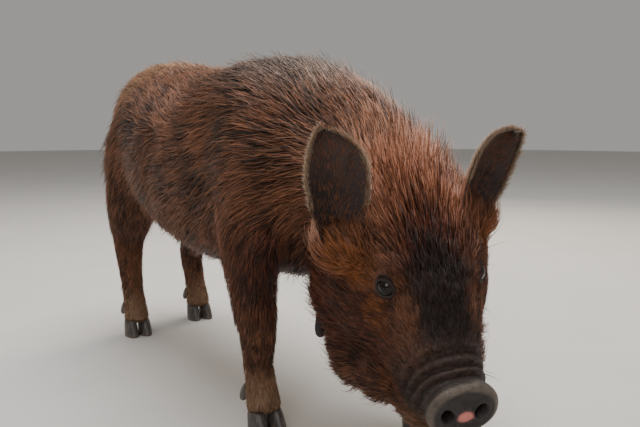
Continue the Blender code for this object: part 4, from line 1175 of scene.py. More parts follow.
def hide_material():
    """Skin: the coat's own markings, darkened as painted shade under the hairs, and bare leathery skin on
    snout, lids and inside the ears, with painted shade deep in the ears and round the eyes.
    """
    made, shader, base = new_material("hide", 0.62, specular=0.4)
    hide = bpy.context.scene.pig_hide
    position = attribute(base, "rest", 1)
    bare = attribute(base, "bare")
    grain = noise(base, position, 900.0, 4.0)
    # Painted shade: the skin under the coat takes the coat's markings, darkened towards near-black as shade
    # between the hairs
    under = brindle(base, position, noise(base, position, 260.0, 2.0)).mix(UNDERCOAT_SHADE, 0.45)
    leather = mixed(base, rgba(hide.snout), rgba(hide.rim), attribute(base, "rim"))
    leather = leather.mix(LEATHER_STAIN, noise(base, position, 130.0, 5.0).ramp(0.35, 0.70, 0.0, 0.7))
    leather = leather.mix(rgba(hide.pink), attribute(base, "pink"))
    colour = under.mix(leather, bare)
    colour = colour.mix(rgba(hide.ear), attribute(base, "cup"))
    # Painted shade: near-black deep in the ears, on the lids and round the eyes
    colour.mix(rgba(hide.hollow), attribute(base, "hollow")).to(shader, "Base Color")
    bare.ramp(0.0, 1.0, 0.66, 0.42).to(shader, "Roughness")
    wrinkles = base.node("ShaderNodeTexVoronoi", {"feature": "DISTANCE_TO_EDGE"},
                         {"Vector": position, "Scale": 620.0})
    bumped(base, shader, 0.5, 0.0006, grain * 0.6 + wrinkles.ramp(0.0, 0.25) * bare)
    return made


def eye_material():
    """A dark wet eye: near-black pupil in a dark brown iris."""
    made, shader, base = new_material("wet_eye", 0.10, specular=0.28)
    iris = rgba(bpy.context.scene.pig_hide.eye)
    centre = attribute(base, "iris")
    colour = mixed(base, iris, PUPIL, centre.ramp(0.30, 0.24))
    colour.mix(EYE_RIM, centre.ramp(0.62, 0.72)).to(shader, "Base Color")
    return made


def horn_material():
    """Claws: dark horn with growth rings and paler worn edges."""
    made, shader, base = new_material("horn", 0.42, specular=0.45)
    horn = rgba(bpy.context.scene.pig_hide.horn)
    place = base.node("ShaderNodeTexCoord", output=3)
    height = base.node("ShaderNodeSeparateXYZ", {}, {"Vector": place}, 2)
    streaks = noise(base, base.vector("MULTIPLY", place, (500.0, 500.0, 60.0)), 1.0, 3.0)
    colour = mixed(base, horn, HORN_STREAK, streaks.ramp(0.45, 0.75, 0.0, 0.65))
    colour.mix(HORN_WORN, height.ramp(0.006, 0.0, 0.0, 0.6)).to(shader, "Base Color")
    bumped(base, shader, 0.6, 0.0005, streaks)
    return made


def floor_material():
    made, shader, base = new_material("studio_floor", 0.75, specular=0.2)
    floor = bpy.context.scene.pig_stage.floor
    worn = tuple(0.93 * value for value in floor)
    share = noise(base, base.node("ShaderNodeTexCoord", output=3), 6.0, 4.0).ramp(0.3, 0.7, 0.0, 0.6)
    mixed(base, rgba(floor), rgba(worn), share).to(shader, "Base Color")
    return made


def coat_guides():
    """Arrays of place, lie, and length with lift in degrees, for both sides, in the body's frame."""
    places, lies, sizes = [], [], []
    body = Matrix.Identity(4)
    for rows, place in ((BODY_COAT, body), (HEAD_COAT, HEAD)):
        spin = place.to_3x3()
        for point, lie, length, lift in rows:
            for side in (1, -1):
                places.append(place @ on_side(point, side))
                lies.append(spin @ on_side(lie, side))
                sizes.append((length, lift))
    return np.array(places), np.array(lies), np.array(sizes)


def coat_at(points, guides):
    """Lie, length and lift at each of the points, weighted by how near the guides are."""
    places, lies, sizes = guides
    far = ((points[:, None, :] - places[None]) ** 2).sum(2)
    weight = 1 / (far + GUIDE_EASE) ** 2
    weight /= weight.sum(1, keepdims=True)
    size = weight @ sizes
    return weight @ lies, size[:, 0], size[:, 1]


def unit(vectors):
    return vectors / (np.linalg.norm(vectors, axis=1, keepdims=True) + 1e-9)


def along_surface(vectors, normals):
    """The directions made square to the normals."""
    return unit(vectors - normals * (vectors * normals).sum(1, keepdims=True))


def sampled(points, triangles, normals, count, random):
    """Random places and normals on triangles, evenly dense."""
    corners = points[triangles]
    area = np.linalg.norm(np.cross(corners[:, 1] - corners[:, 0], corners[:, 2] - corners[:, 0]), axis=1)
    pick = random.choice(len(triangles), count, p=area / area.sum())
    mix = random.dirichlet((1, 1, 1), count)[:, :, None]
    return (corners[pick] * mix).sum(1), unit((normals[triangles[pick]] * mix).sum(1))


def nearest(surface, points):
    """The surface's closest places and their normals."""
    found = [surface.find_nearest(Vector(p))[:2] for p in points]
    return np.array([f[0] for f in found]), np.array([f[1] for f in found])


def hair_lines(kind, roots, normals, lie, length, lift, surface, random):
    """Places of each tuft's stations, from its root under the skin, along the surface to its raised tip."""
    lie = along_surface(lie, normals)
    side = np.cross(normals, lie)
    lines = [roots - normals * np.minimum(length * 0.06, ROOT_DEPTH)[:, None]]
    here, out = roots, normals
    for before, after in zip(kind[0], kind[0][1:]):
        step = length * np.cos(lift) * (after - before)
        turn = random.normal(0, HAIR_WANDER, len(roots))[:, None]
        here = here + (lie + side * turn) * step[:, None]
        if surface is not None:
            here, out = nearest(surface, here)
        lie = along_surface(lie, out)
        side = np.cross(out, lie)
        rise = length * np.sin(lift) * (after ** 0.8)
        lines.append(here + out * rise[:, None])
    return np.stack(lines, 1)


def clumped(kind, lines, roots, share, pull, random):
    """Draws tufts to a leader near them, most at the tip, and gives each leader's own number."""
    leaders = random.choice(len(roots), max(int(len(roots) * share), 1), replace=False)
    tree = KDTree(len(leaders))
    for n, leader in enumerate(leaders):
        tree.insert(roots[leader], n)
    tree.balance()
    mine = np.array([tree.find(p)[1] for p in roots])
    target = lines[leaders[mine]]
    strength = pull * random.uniform(0.3, 1.3, len(roots))[:, None, None]
    amount = np.clip(np.array(kind[0])[None, :, None] ** 1.2 * strength, 0, MOST_PULL)
    return lines + (target - lines) * amount, random.uniform(0, 1, len(leaders))[mine]


def tuft_width(length):
    """Across a tuft of that length: a shorter one is thinner."""
    return bpy.context.scene.pig_coat.width * (length / 0.030) ** 0.6


def hair_mesh(name, kind, lines, normals, width, tone, roots, uv, material):
    """One mesh of closed three-sided tapering tufts along the lines."""
    reaches, widths = kind
    rings_used = len(reaches) - 1
    count = len(lines)
    ahead = np.gradient(lines, axis=1)
    out = np.repeat(normals[:, None, :], rings_used + 1, 1)
    side = np.cross(ahead, out)
    side /= np.linalg.norm(side, axis=2, keepdims=True) + 1e-9
    up = np.cross(side, ahead)
    up /= np.linalg.norm(up, axis=2, keepdims=True) + 1e-9
    half = (width[:, None] * np.array(widths)[None] / 2)[:, :-1, None]
    rings = np.stack((
        lines[:, :-1] + side[:, :-1] * half,
        lines[:, :-1] - side[:, :-1] * half,
        lines[:, :-1] + up[:, :-1] * (half * 0.9),
    ), 2)
    points = np.concatenate((rings.reshape(count, -1, 3), lines[:, -1:]), 1)
    per = points.shape[1]
    last = (rings_used - 1) * 3
    faces = [(0, 1, 2)]
    for low in range(0, last, 3):
        for k in range(3):
            a, b = low + k, low + (k + 1) % 3
            faces += [(a, a + 3, b), (b, a + 3, b + 3)]
    faces += [(last + k, per - 1, last + (k + 1) % 3) for k in range(3)]
    triangles = (np.array(faces)[None] + (np.arange(count) * per)[:, None, None]).reshape(-1, 3)
    across = np.array([0.0, 1.0, 0.5] * rings_used + [0.5])
    reach = np.array([t for t in reaches[:-1] for _ in range(3)] + [1.0])
    patch = uv[:, None, :] + (np.stack((across - 0.5, reach - 0.5), 1) * PATCH)[None]
    attributes = {
        "rest": np.repeat(roots, per, 0),
        "along": np.tile(reach, count),
        "tone": np.repeat(tone, per),
    }
    obj = mesh_from_arrays(name, points.reshape(-1, 3), triangles, attributes, patch.reshape(-1, 2))
    obj.data.materials.append(material)
    return obj


def hair_pieces(name, kind, lines, normals, width, tone, roots, uv, material):
    """The tufts in as many pieces as the limit on triangles asks for, from the pig's front to its back."""
    order = np.argsort(-roots[:, 0])
    per_tuft = 6 * (len(kind[0]) - 2) + 4
    pieces = math.ceil(len(order) * per_tuft / MOST_TRIANGLES)
    for n, chosen in enumerate(np.array_split(order, pieces)):
        tag = name if pieces == 1 else f"{name}_{n + 1}"
        chosen_tufts = (values[chosen] for values in (lines, normals, width, tone, roots, uv))
        placed(hair_mesh(tag, kind, *chosen_tufts, material), COAT_SLOT)


def leg_axis(name, heights):
    """Where a leg's middle is at these heights."""
    rows = np.array(leg_rows(name))
    return np.stack([np.interp(heights, rows[:, 2], rows[:, k]) for k in (0, 1)], 1)


def turn_share(first, second):
    """The turn of each place round an axis, from 0 to 1."""
    return np.arctan2(first, second) / (2 * math.pi) + 0.5


def chart(points, part):
    """Places on the unwrap of the skin, where trunk, head, each leg and the tail have their own fields."""
    if part == "trunk":
        left, low, wide, high = TRUNK_FIELD
        u = (points[:, 0] + 0.30) / 0.68
        v = turn_share(points[:, 1], points[:, 2] - 0.24)
    elif part == "head":
        left, low, wide, high = HEAD_FIELD
        local = in_frame(points, HEAD)
        u = (local[:, 0] + 0.06) / 0.25
        v = turn_share(local[:, 1], local[:, 2] + 0.07)
    elif part in FEET:
        left, low, wide, high = LEG_FIELD
        left += LEG_FIELD_STEP * list(FEET).index(part)
        axis = leg_axis(part, points[:, 2])
        u = turn_share(points[:, 1] - axis[:, 1], points[:, 0] - axis[:, 0])
        v = points[:, 2] / 0.20
    else:
        left, low, wide, high = TAIL_FIELD
        u = (points[:, 2] - 0.18) / 0.13
        v = turn_share(points[:, 1] - 0.008, points[:, 0] + 0.27)
    return np.clip(np.stack((left + wide * u, low + high * v), 1), 0.004, 0.996)


def skin_part(points):
    """Which part of the pig each place on the body's skin belongs to: trunk, head or one of the legs."""
    part = np.full(len(points), "trunk", dtype="<U16")
    place = in_frame(points, HEAD)
    part[place[:, 0] + NAPE_SLOPE * (place[:, 2] + 0.075) > NAPE] = "head"
    for name in FEET:
        away = np.linalg.norm(points[:, :2] - leg_axis(name, points[:, 2]), axis=1)
        part[(points[:, 2] < LEG_TOP) & (away < LEG_REACH)] = name
    return part


def bare_places(points):
    """Where no hair grows: the snout's end, the lids, the mouth's line and inside the claws."""
    place = in_frame(points, HEAD)
    bare = place[:, 0] > SNOUT.x + 0.002 + math.tan(SNOUT_TILT) * (place[:, 2] - SNOUT.z)
    for side in SIDES:
        local = in_frame(points, eye_frame(side))
        bare |= (np.linalg.norm(local[:, 1:], axis=1) < BARE_LIDS) & (local[:, 0] > 0)
    mirrored = np.stack((place[:, 0], np.abs(place[:, 1]), place[:, 2]), 1)
    bare |= path_distance(mirrored, MOUTH_LINE[:-2]) < BARE_MOUTH
    for foot in FEET.values():
        away = np.linalg.norm(points[:, :2] - np.array(foot[:2]), axis=1)
        bare |= (points[:, 2] < HOOF_HEIGHT - 0.002) & (away < 0.05)
    return bare


def skin_values(points, kind):
    """Numbers at the skin's points, 0 to 1, that say how each is coloured."""
    bare = np.where((kind == SNOUT_KIND) | (kind == TASSEL_KIND), 1.0, 0.0)
    # The lids take near-black: their own dark skin with painted shade
    hollow = np.where(kind == LID_KIND, LID_SHADE, 0.0)
    # Painted shade round each eye, darkest close to the lids
    for side in SIDES:
        local = in_frame(points, eye_frame(side))
        near = 1 - step_between(np.linalg.norm(local[:, 1:], axis=1), 0.008, 0.014)
        hollow = np.maximum(hollow, LID_SHADE * near * (local[:, 0] > 0) * (local[:, 0] < 0.02))
    cup = np.zeros(len(points))
    for name in EARS:
        along, front, side, base, length = ear_frame(name)
        off = points - base
        t = np.clip(off @ along / length, 0, 1)
        s = (off @ side - ear_middle(name, t)) / ear_half_width(t)
        forward = off @ front - ear_bend(t, np.clip(s, -1, 1))
        mine = (kind == EAR_KIND) & (np.abs(s) <= 1.01) & (forward > 0)
        mine &= np.linalg.norm(off, axis=1) < WITHIN_EAR
        cup = np.where(mine, 1.0, cup)
        # Painted shade inside the ear: darkest deep in its hollow near the base, lighter towards the tip and
        # the edges
        shade = (1 - step_between(t, 0.40, 0.85)) * (1 - 0.6 * np.abs(s) ** 3)
        hollow = np.where(mine, shade, hollow)
    local = in_frame(points, snout_frame())
    radial = np.hypot(local[:, 1] / SNOUT_HALF[0], local[:, 2] / SNOUT_HALF[1])
    edge = step_between(local[:, 0], 0.0080, 0.0108)
    rim = (kind == SNOUT_KIND) * step_between(radial, 0.84, 0.97) * (0.15 + 0.85 * edge)
    spot = np.hypot(*((local[:, k + 1] - PINK_PLACE[k]) / PINK_HALF[k] for k in (0, 1)))
    pink = (1 - step_between(spot, 0.6, 1.15)) * (kind == SNOUT_KIND) * (local[:, 0] > SNOUT_DEPTH - 0.004)
    return {"rest": points, "bare": bare, "rim": rim, "cup": cup, "hollow": hollow, "pink": pink}


# The skin's arrays, kept for the coat and the whiskers
SKIN = {}


def make_skin():
    """The body's skin, kept with its arrays for the coat to grow on, and the one skin object."""
    pieces = trunk()
    for name in FEET:
        pieces += leg(name)
    body = blended("body", pieces, BODY_VOXEL, 10)
    skin = blended("skin", [body, *skull()], SKIN_VOXEL, 5)
    refined(skin, near_head)
    refined(skin, near_face)
    sculpt(skin)
    points, triangles, normals = arrays_of(skin)
    SKIN["body"] = (points, triangles, normals)
    SKIN["surface"] = BVHTree.FromPolygons(points.tolist(), triangles.tolist())
    hanging = tail()
    SKIN["tail"] = arrays_of(hanging)
    parts = [(skin, BODY_KIND)]
    parts += [(lids(side), LID_KIND) for side in SIDES]
    parts.append((snout(), SNOUT_KIND))
    parts += [(ear(name), EAR_KIND) for name in EARS]
    parts.append((hanging, BODY_KIND))
    parts += [(tassel(side), TASSEL_KIND) for side in SIDES]
    points, triangles, kind = gathered(parts)
    obj = mesh_from_arrays("skin", points, triangles, skin_values(points, kind))
    obj.data.materials.append(hide_material())
    placed(obj, COAT_SLOT, "torso", "neck", "head", "lower_jaw", "snout", "tail", "tassel_left",
           "tassel_right", "ear_left", "ear_right", *FEET)


def make_eyes():
    """Two eyeballs with a slightly bulging front."""
    material = eye_material()
    for side, tag in SIDES.items():
        obj = ball("eyeball_" + tag, (0, 0, 0), (1, 1, 1), turn=(0, math.pi / 2, 0), points=48)
        points, triangles, _ = arrays_of(obj)
        bpy.data.objects.remove(obj)
        front = np.arccos(np.clip(points[:, 0], -1, 1))
        points *= (EYE_RADIUS - EYE_CLEARANCE + CORNEA_RISE * ridge(front, CORNEA_ANGLE))[:, None]
        points = out_of_frame(points, eye_frame(side))
        obj = mesh_from_arrays("eyeball_" + tag, points, triangles, {"iris": front})
        obj.data.materials.append(material)
        placed(obj, EYE_SLOT, "eye_" + tag)


def make_claws():
    """The claws of each foot as one piece."""
    horn = horn_material()
    for leg_name, foot in FEET.items():
        claws, nodes = [], []
        for side, tag in SIDES.items():
            for kind, big in (("hoof", True), ("dewclaw", False)):
                claws.append((claw(foot, side, big), 0))
                nodes.append(f"{kind}_{leg_name}_{tag}")
        points, triangles, _ = gathered(claws)
        obj = mesh_from_arrays("claws_" + leg_name, points, triangles)
        obj.data.set_sharp_from_angle(angle=SHARP_ANGLE)
        obj.data.materials.append(horn)
        placed(obj, HOOF_SLOT, *nodes)


def before_ears(points):
    """1 on the head in front of an ear's hollow, easing to 0 away from it."""
    share = np.zeros(len(points))
    for name in EARS:
        along, front, side, base, length = ear_frame(name)
        off = points - base
        t = off @ along / length
        s = np.abs(off @ side) / ear_half_width(np.clip(t, 0, 1))
        forward = off @ front
        near = (1 - step_between(forward, 0.018, 0.030)) * (forward > -0.004)
        share = np.maximum(share, near * (1 - step_between(s, 0.8, 1.3)) * (t > 0.05) * (t < 0.7))
    return share


def grow(name, kind, roots, normals, loose, guides, random, material):
    """Tufts of the body's coat from these roots, that share of them long, thin and standing off."""
    coat = bpy.context.scene.pig_coat
    count = len(roots)
    lie, length, lift = coat_at(roots, guides)
    stray = random.uniform(0, 1, count) < loose
    length = length * random.uniform(0.70, 1.10, count) * np.where(stray, 1.2, 1)
    length = length * (1 - EAR_CLEARING * before_ears(roots))
    lift = np.radians(lift * random.uniform(0.4, 1.3, count) * np.where(stray, 1.5, 1))
    lie = lie + random.normal(0, 0.11, lie.shape)
    lines = hair_lines(kind, roots, normals, lie, length, lift, SKIN["surface"], random)
    lines, clump_tone = clumped(kind, lines, roots, 0.06, coat.pull, random)
    tone = 0.4 * clump_tone + 0.6 * random.uniform(0, 1, count)
    width = tuft_width(length) * random.uniform(0.7, 1.2, count) * np.where(stray, 0.6, 1)
    part = skin_part(roots)
    uv = np.zeros((count, 2))
    for which in np.unique(part):
        uv[part == which] = chart(roots[part == which], which)
    hair_pieces(name, kind, lines, normals, width, tone, roots, uv, material)


def make_coat():
    """Tufts all over the body's skin, shortest on the face and feet."""
    coat = bpy.context.scene.pig_coat
    random = np.random.default_rng(coat.seed)
    guides = coat_guides()
    material = coat_material()
    points, triangles, normals = SKIN["body"]
    middles = points[triangles].mean(1)
    part = skin_part(middles)
    hairy = ~bare_places(middles)
    trunk_skin = part == "trunk"
    face = (part == "head") & (coat_at(middles, guides)[1] < FACE_LENGTH)
    crown = (part == "head") & ~face
    leg_skin = np.char.find(part, "leg_") >= 0
    fields = (
        ("coat_trunk", SHORT, trunk_skin, coat.trunk, 0.0),
        ("coat_guard", LONG, trunk_skin, coat.guard, 1.0),
        ("coat_head", SHORT, crown, coat.head, 0.0),
        ("coat_crest", LONG, crown, coat.crest, 1.0),
        ("coat_face", SHORT, face, coat.face, 0.03),
        ("coat_legs", SHORT, leg_skin, coat.legs, 0.05),
    )
    for name, kind, inside, count, loose in fields:
        roots, out = sampled(points, triangles[inside & hairy], normals, int(count * MANY), random)
        grow(name, kind, roots, out, loose, guides, random, material)


def ear_surface(name, t, s, face):
    """Places and normals on an ear."""
    step = 0.01
    here = ear_points(name, t, s, face)
    up = ear_points(name, t + step, s, face) - here
    across = ear_points(name, t, np.where(s > 0, s - step, s + step), face) - here
    across *= np.where(s > 0, -1, 1)[:, None]
    normal = unit(np.cross(up, across))
    flip = np.sign((normal * ear_frame(name)[1]).sum(1)) * face
    return here, normal * flip[:, None]


def ear_chart(name, t, s, face):
    left, low, wide, high = EAR_FIELD
    left += EAR_FIELD_STEP[0] * (face > 0)
    low += EAR_FIELD_STEP[1] * (name == "ear_left")
    return np.stack((left + wide * (s + 1), low + high * t), 1)


def make_ears():
    """Short fur on the ears' backs, thin pale fringes along the rims and thin hair inside."""
    coat = bpy.context.scene.pig_coat
    random = np.random.default_rng(coat.seed + 1)
    brown = bpy.data.materials.get("bristly_coat") or coat_material()
    pale = fringe_material()
    for name in EARS:
        along, _, side, _, _ = ear_frame(name)
        sets = []
        count = int(EAR_HAIRS["back"] * MANY)
        t, s = random.uniform(0.12, 0.99, count), random.uniform(-0.98, 0.98, count)
        sets.append((t, s, -1, along + side * s[:, None] * 0.3, 0.008, 12, brown, "back"))
        for face in (-1, 1):
            count = int(EAR_HAIRS["fringe"] * MANY)
            t = random.uniform(0.15, 1.0, count) ** 0.65
            s = np.sign(random.uniform(-1, 1, count)) * (1 - 0.09 * random.uniform(0, 1, count) ** 2)
            lean = along * 0.9 + side * (np.sign(s) * 0.55 + outward(name) * 0.15)[:, None]
            sets.append((t, s, face, lean, 0.0068, 22, pale, "fringe_front" if face > 0 else "fringe_back"))
        count = int(EAR_HAIRS["inside"] * MANY)
        t, s = random.uniform(0.10, 0.93, count), random.normal(0, 0.6, count).clip(-0.92, 0.92)
        sets.append((t, s, 1, along + side * s[:, None] * 0.8, 0.007, 9, brown, "inside"))
        for t, s, face, lie, longest, lift, material, tag in sets:
            roots, out = ear_surface(name, t, s, face)
            size = longest * random.uniform(0.45, 1.2, len(t))
            rise = np.radians(lift * random.uniform(0.2, 1.6, len(t)))
            lie = lie + random.normal(0, 0.18, (len(t), 3))
            lines = hair_lines(SHORT, roots, out, lie, size, rise, None, random)
            lines, clump_tone = clumped(SHORT, lines, roots, 0.10, coat.pull * 0.6, random)
            tone = 0.4 * clump_tone + 0.6 * random.uniform(0, 1, len(t))
            width = tuft_width(size) * (0.62 if material is pale else 0.75)
            uv = ear_chart(name, t, s, face)
            hair_pieces(f"{name}_{tag}", SHORT, lines, out, width, tone, roots, uv, material)


def make_tail_coat():
    """Hair down the tail, longest at its end."""
    coat = bpy.context.scene.pig_coat
    random = np.random.default_rng(coat.seed + 2)
    points, triangles, normals = SKIN["tail"]
    roots, out = sampled(points, triangles, normals, int(TAIL_HAIRS * MANY), random)
    end = 1 - step_between(roots[:, 2], 0.195, 0.235)
    length = (0.014 + 0.026 * end) * random.uniform(0.7, 1.1, len(roots))
    lie = np.tile(TAIL_LIE, (len(roots), 1)) + random.normal(0, 0.08, (len(roots), 3))
    lift = np.radians(np.full(len(roots), TAIL_LIFT))
    lines = hair_lines(LONG, roots, out, lie, length, lift, None, random)
    lines, clump_tone = clumped(LONG, lines, roots, 0.08, coat.pull, random)
    tone = 0.5 * clump_tone + 0.5 * random.uniform(0, 1, len(roots))
    material = bpy.data.materials.get("bristly_coat") or coat_material()
    uv = chart(roots, "tail")
    hair_pieces("coat_tail", LONG, lines, out, tuft_width(length), tone, roots, uv, material)


def bristle_points():
    """Roots of whiskers and lashes with the way each points, the way it sags and its length."""
    random = np.random.default_rng(5)
    turn = np.array(HEAD.to_3x3())
    places, lies, sags, lengths = [], [], [], []
    for (start, end), lie, length, count in BRISTLE_ROWS:
        for side in SIDES:
            for k in range(count):
                spot = Vector(start).lerp(Vector(end), k / (count - 1)) + Vector(random.normal(0, 0.0022, 3))
                places.append(SKIN["surface"].find_nearest(HEAD @ on_side(spot, side))[0])
                lies.append(turn @ (np.array(lie) * (1, side, 1) + random.normal(0, 0.16, 3)))
                sags.append((0, 0, -1))
                lengths.append(length * random.uniform(0.6, 1.25))
    for side in SIDES:
        place = eye_frame(side)
        spin = np.array(place.to_3x3())
        for k in range(LASHES):
            upper = k < LASHES * UPPER_LASHES
            angle = math.radians(random.uniform(15, 165) * (1 if upper else -1))
            edge = float(opening_angle(angle))
            places.append(place @ (eye_direction(edge, angle) * (EYE_RADIUS + LASH_ROOT)))
            away = np.array((0.8, math.cos(angle) * 0.9, math.sin(angle) * 0.9)) + random.normal(0, 0.12, 3)
            lies.append(spin @ away)
            sags.append(spin @ np.array((0, 0, 1 if upper else -1)))
            lengths.append((0.0085 if upper else 0.0045) * random.uniform(0.7, 1.2))
    return places, lies, sags, lengths


def bristle_tree(material):
    """Node tree that sets one tapering bent bristle on each point, along the point's own direction."""
    tree = bpy.data.node_groups.new("bristles", "GeometryNodeTree")
    tree.interface.new_socket("Points", in_out="INPUT", socket_type="NodeSocketGeometry")
    sockets = {}
    for name in BRISTLE_SETTINGS:
        socket = tree.interface.new_socket(name, in_out="INPUT", socket_type="NodeSocketFloat")
        sockets[name] = socket.identifier
    tree.interface.new_socket("Bristles", in_out="OUTPUT", socket_type="NodeSocketGeometry")
    made = {}

    def node(name, kind, settings=None, inputs=None):
        made[name] = tree.nodes.new(kind)
        for key, value in (settings or {}).items():
            setattr(made[name], key, value)
        for key, value in (inputs or {}).items():
            if isinstance(value, tuple) and isinstance(value[0], str):
                tree.links.new(made[value[0]].outputs[value[1]], made[name].inputs[key])
            else:
                made[name].inputs[key].default_value = value

    node("in", "NodeGroupInput")
    node("end", "ShaderNodeCombineXYZ", {}, {"X": ("in", "Sag"), "Z": 1.0})
    node("line", "GeometryNodeCurveQuadraticBezier", {},
         {"Resolution": 5, "Start": (0, 0, 0), "Middle": (0, 0, 0.5), "End": ("end", "Vector")})
    node("ring", "GeometryNodeCurvePrimitiveCircle", {}, {"Resolution": 5, "Radius": ("in", "Thickness")})
    node("where", "GeometryNodeSplineParameter")
    node("taper", "ShaderNodeMapRange", {}, {"Value": ("where", "Factor"), "To Min": 1.0, "To Max": 0.12})
    node("bristle", "GeometryNodeCurveToMesh", {},
         {"Curve": ("line", "Curve"), "Profile Curve": ("ring", "Curve"), "Scale": ("taper", "Result"),
          "Fill Caps": True})
    for name, kind, _ in BRISTLE_VALUES:
        node(name, "GeometryNodeInputNamedAttribute", {"data_type": kind}, {"Name": name})
    node("aim", "FunctionNodeAlignRotationToVector", {"axis": "Z"}, {"Vector": ("lie", "Attribute")})
    node("bend", "FunctionNodeAlignRotationToVector", {"axis": "X", "pivot_axis": "Z"},
         {"Rotation": ("aim", "Rotation"), "Vector": ("sag", "Attribute")})
    node("dots", "GeometryNodeMeshToPoints", {}, {"Mesh": ("in", "Points")})
    node("set", "GeometryNodeInstanceOnPoints", {},
         {"Points": ("dots", "Points"), "Instance": ("bristle", "Mesh"), "Rotation": ("bend", "Rotation"),
          "Scale": ("size", "Attribute")})
    node("real", "GeometryNodeRealizeInstances", {}, {"Geometry": ("set", "Instances")})
    node("dressed", "GeometryNodeSetMaterial", {}, {"Geometry": ("real", "Geometry"), "Material": material})
    node("out", "NodeGroupOutput", {}, {"Bristles": ("dressed", "Geometry")})
    return tree, sockets


def whisker_material():
    made, shader, _ = new_material("whiskers", 0.45)
    shader.inputs["Base Color"].default_value = (0.030, 0.018, 0.014, 1)
    return made


def make_bristles():
    """Whiskers, brow and chin bristles and lashes."""
    places, *values = bristle_points()
    mesh = bpy.data.meshes.new("whiskers")
    mesh.from_pydata([tuple(p) for p in places], [], [])
    for (name, kind, field), rows in zip(BRISTLE_VALUES, values):
        layer = mesh.attributes.new(name, kind, "POINT")
        layer.data.foreach_set(field, np.array(rows, np.float32).ravel())
    obj = add_object("whiskers", mesh)
    tree, sockets = bristle_tree(whisker_material())
    nodes = obj.modifiers.new("bristles", "NODES")
    nodes.node_group = tree
    for name, value in BRISTLE_SETTINGS.items():
        nodes[sockets[name]] = value
    apply_modifiers(obj)
    obj.data.shade_smooth()
    placed(obj, COAT_SLOT)


def aim(obj, place, look):
    """Sets a lamp or a camera at a place, looking that way."""
    turn = look.to_track_quat("-Z", "Y").to_matrix().to_4x4()
    obj.matrix_world = Matrix.Translation(place) @ turn


def area_light(name, place, size, power, colour):
    lamp = bpy.data.lights.new(name, "AREA")
    lamp.shape = "DISK"
    lamp.size = size
    lamp.energy = power
    lamp.color = colour
    aim(add_object(name, lamp), place, LIT_POINT - Vector(place))


def make_stage():
    """The floor, soft light from all round, and the photograph's camera."""
    stage = bpy.context.scene.pig_stage
    shape = bmesh.new()
    bmesh.ops.create_circle(shape, cap_ends=True, segments=96, radius=FLOOR_RADIUS)
    floor = mesh_from_bmesh("floor", shape)
    floor.data.materials.append(floor_material())
    world = bpy.data.worlds.new("studio")
    bpy.context.scene.world = world
    world.use_nodes = True
    sky = world.node_tree.nodes["Background"]
    sky.inputs["Color"].default_value = SKY_COLOUR
    sky.inputs["Strength"].default_value = stage.sky
    for name, (place, size, share, colour) in LIGHTS.items():
        area_light(name, place, size, stage.key * share, colour)
    lens = bpy.data.cameras.new("camera")
    lens.sensor_width = SENSOR
    lens.sensor_fit = "HORIZONTAL"
    lens.lens = FOCAL_PIXELS * SENSOR / IMAGE_WIDTH
    lens.clip_start = 0.01
    camera = add_object("camera", lens)
    level = math.cos(CAMERA_TILT)
    look = Vector((-math.sin(CAMERA_TURN) * level, math.cos(CAMERA_TURN) * level, -math.sin(CAMERA_TILT)))
    aim(camera, CAMERA_PLACE + skin_shift(), look)
    bpy.context.scene.camera = camera


class PIG_OT_stage(Operator):
    """Add the floor, the lights and the photograph's camera."""
    bl_idname = "pig.stage"
    bl_label = "Stage"

    def execute(self, context):
        make_stage()
        return {"FINISHED"}


class PIG_OT_skin(Operator):
    """Build the skin with its folds, lids, snout, ears and tail."""
    bl_idname = "pig.skin"
    bl_label = "Skin"

    def execute(self, context):
        make_skin()
        return {"FINISHED"}


class PIG_OT_eyes(Operator):
    """Build the two eyeballs."""
    bl_idname = "pig.eyes"
    bl_label = "Eyes"

    def execute(self, context):
        make_eyes()
        return {"FINISHED"}


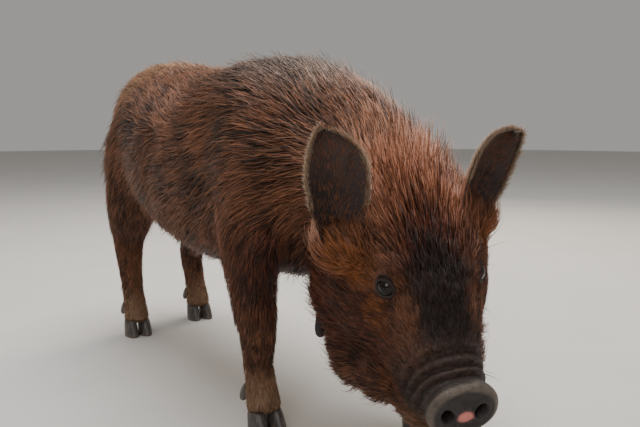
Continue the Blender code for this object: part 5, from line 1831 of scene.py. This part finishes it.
class PIG_OT_claws(Operator):
    """Build the claws and dewclaws of the four feet."""
    bl_idname = "pig.claws"
    bl_label = "Claws"

    def execute(self, context):
        make_claws()
        return {"FINISHED"}


class PIG_OT_coat(Operator):
    """Grow the coat on body, head and legs."""
    bl_idname = "pig.coat"
    bl_label = "Coat"

    def execute(self, context):
        if "body" not in SKIN:
            raise RuntimeError("the coat grows on the skin, which is built first")
        make_coat()
        make_tail_coat()
        return {"FINISHED"}


class PIG_OT_ears(Operator):
    """Grow the hair of the ears."""
    bl_idname = "pig.ears"
    bl_label = "Ear hair"

    def execute(self, context):
        make_ears()
        return {"FINISHED"}


class PIG_OT_bristles(Operator):
    """Set the whiskers, bristles and lashes."""
    bl_idname = "pig.bristles"
    bl_label = "Whiskers"

    def execute(self, context):
        if "surface" not in SKIN:
            raise RuntimeError("the whiskers stand on the skin, which is built first")
        make_bristles()
        return {"FINISHED"}


class PIG_PT_panel(Panel):
    """Lists the steps that dress the pig."""
    bl_label = "Miniature Pig"
    bl_idname = "PIG_PT_panel"
    bl_space_type = "VIEW_3D"
    bl_region_type = "UI"
    bl_category = "Miniature Pig"

    def draw(self, context):
        for step in STEPS:
            self.layout.operator(step.bl_idname)


SETTINGS = (PigHide, PigCoat, PigStage)
STEPS = (PIG_OT_stage, PIG_OT_skin, PIG_OT_eyes, PIG_OT_claws, PIG_OT_coat, PIG_OT_ears, PIG_OT_bristles)
CLASSES = (*SETTINGS, *STEPS, PIG_PT_panel)


def register():
    for made in CLASSES:
        bpy.utils.register_class(made)
    bpy.types.Scene.pig_hide = PointerProperty(type=PigHide)
    bpy.types.Scene.pig_coat = PointerProperty(type=PigCoat)
    bpy.types.Scene.pig_stage = PointerProperty(type=PigStage)


def unregister():
    for name in ("pig_hide", "pig_coat", "pig_stage"):
        delattr(bpy.types.Scene, name)
    for made in reversed(CLASSES):
        bpy.utils.unregister_class(made)


def main():
    register()
    bpy.ops.pig.stage()
    bpy.ops.pig.skin()
    bpy.ops.pig.eyes()
    bpy.ops.pig.claws()
    bpy.ops.pig.coat()
    bpy.ops.pig.ears()
    bpy.ops.pig.bristles()


if __name__ == "__main__":
    main()
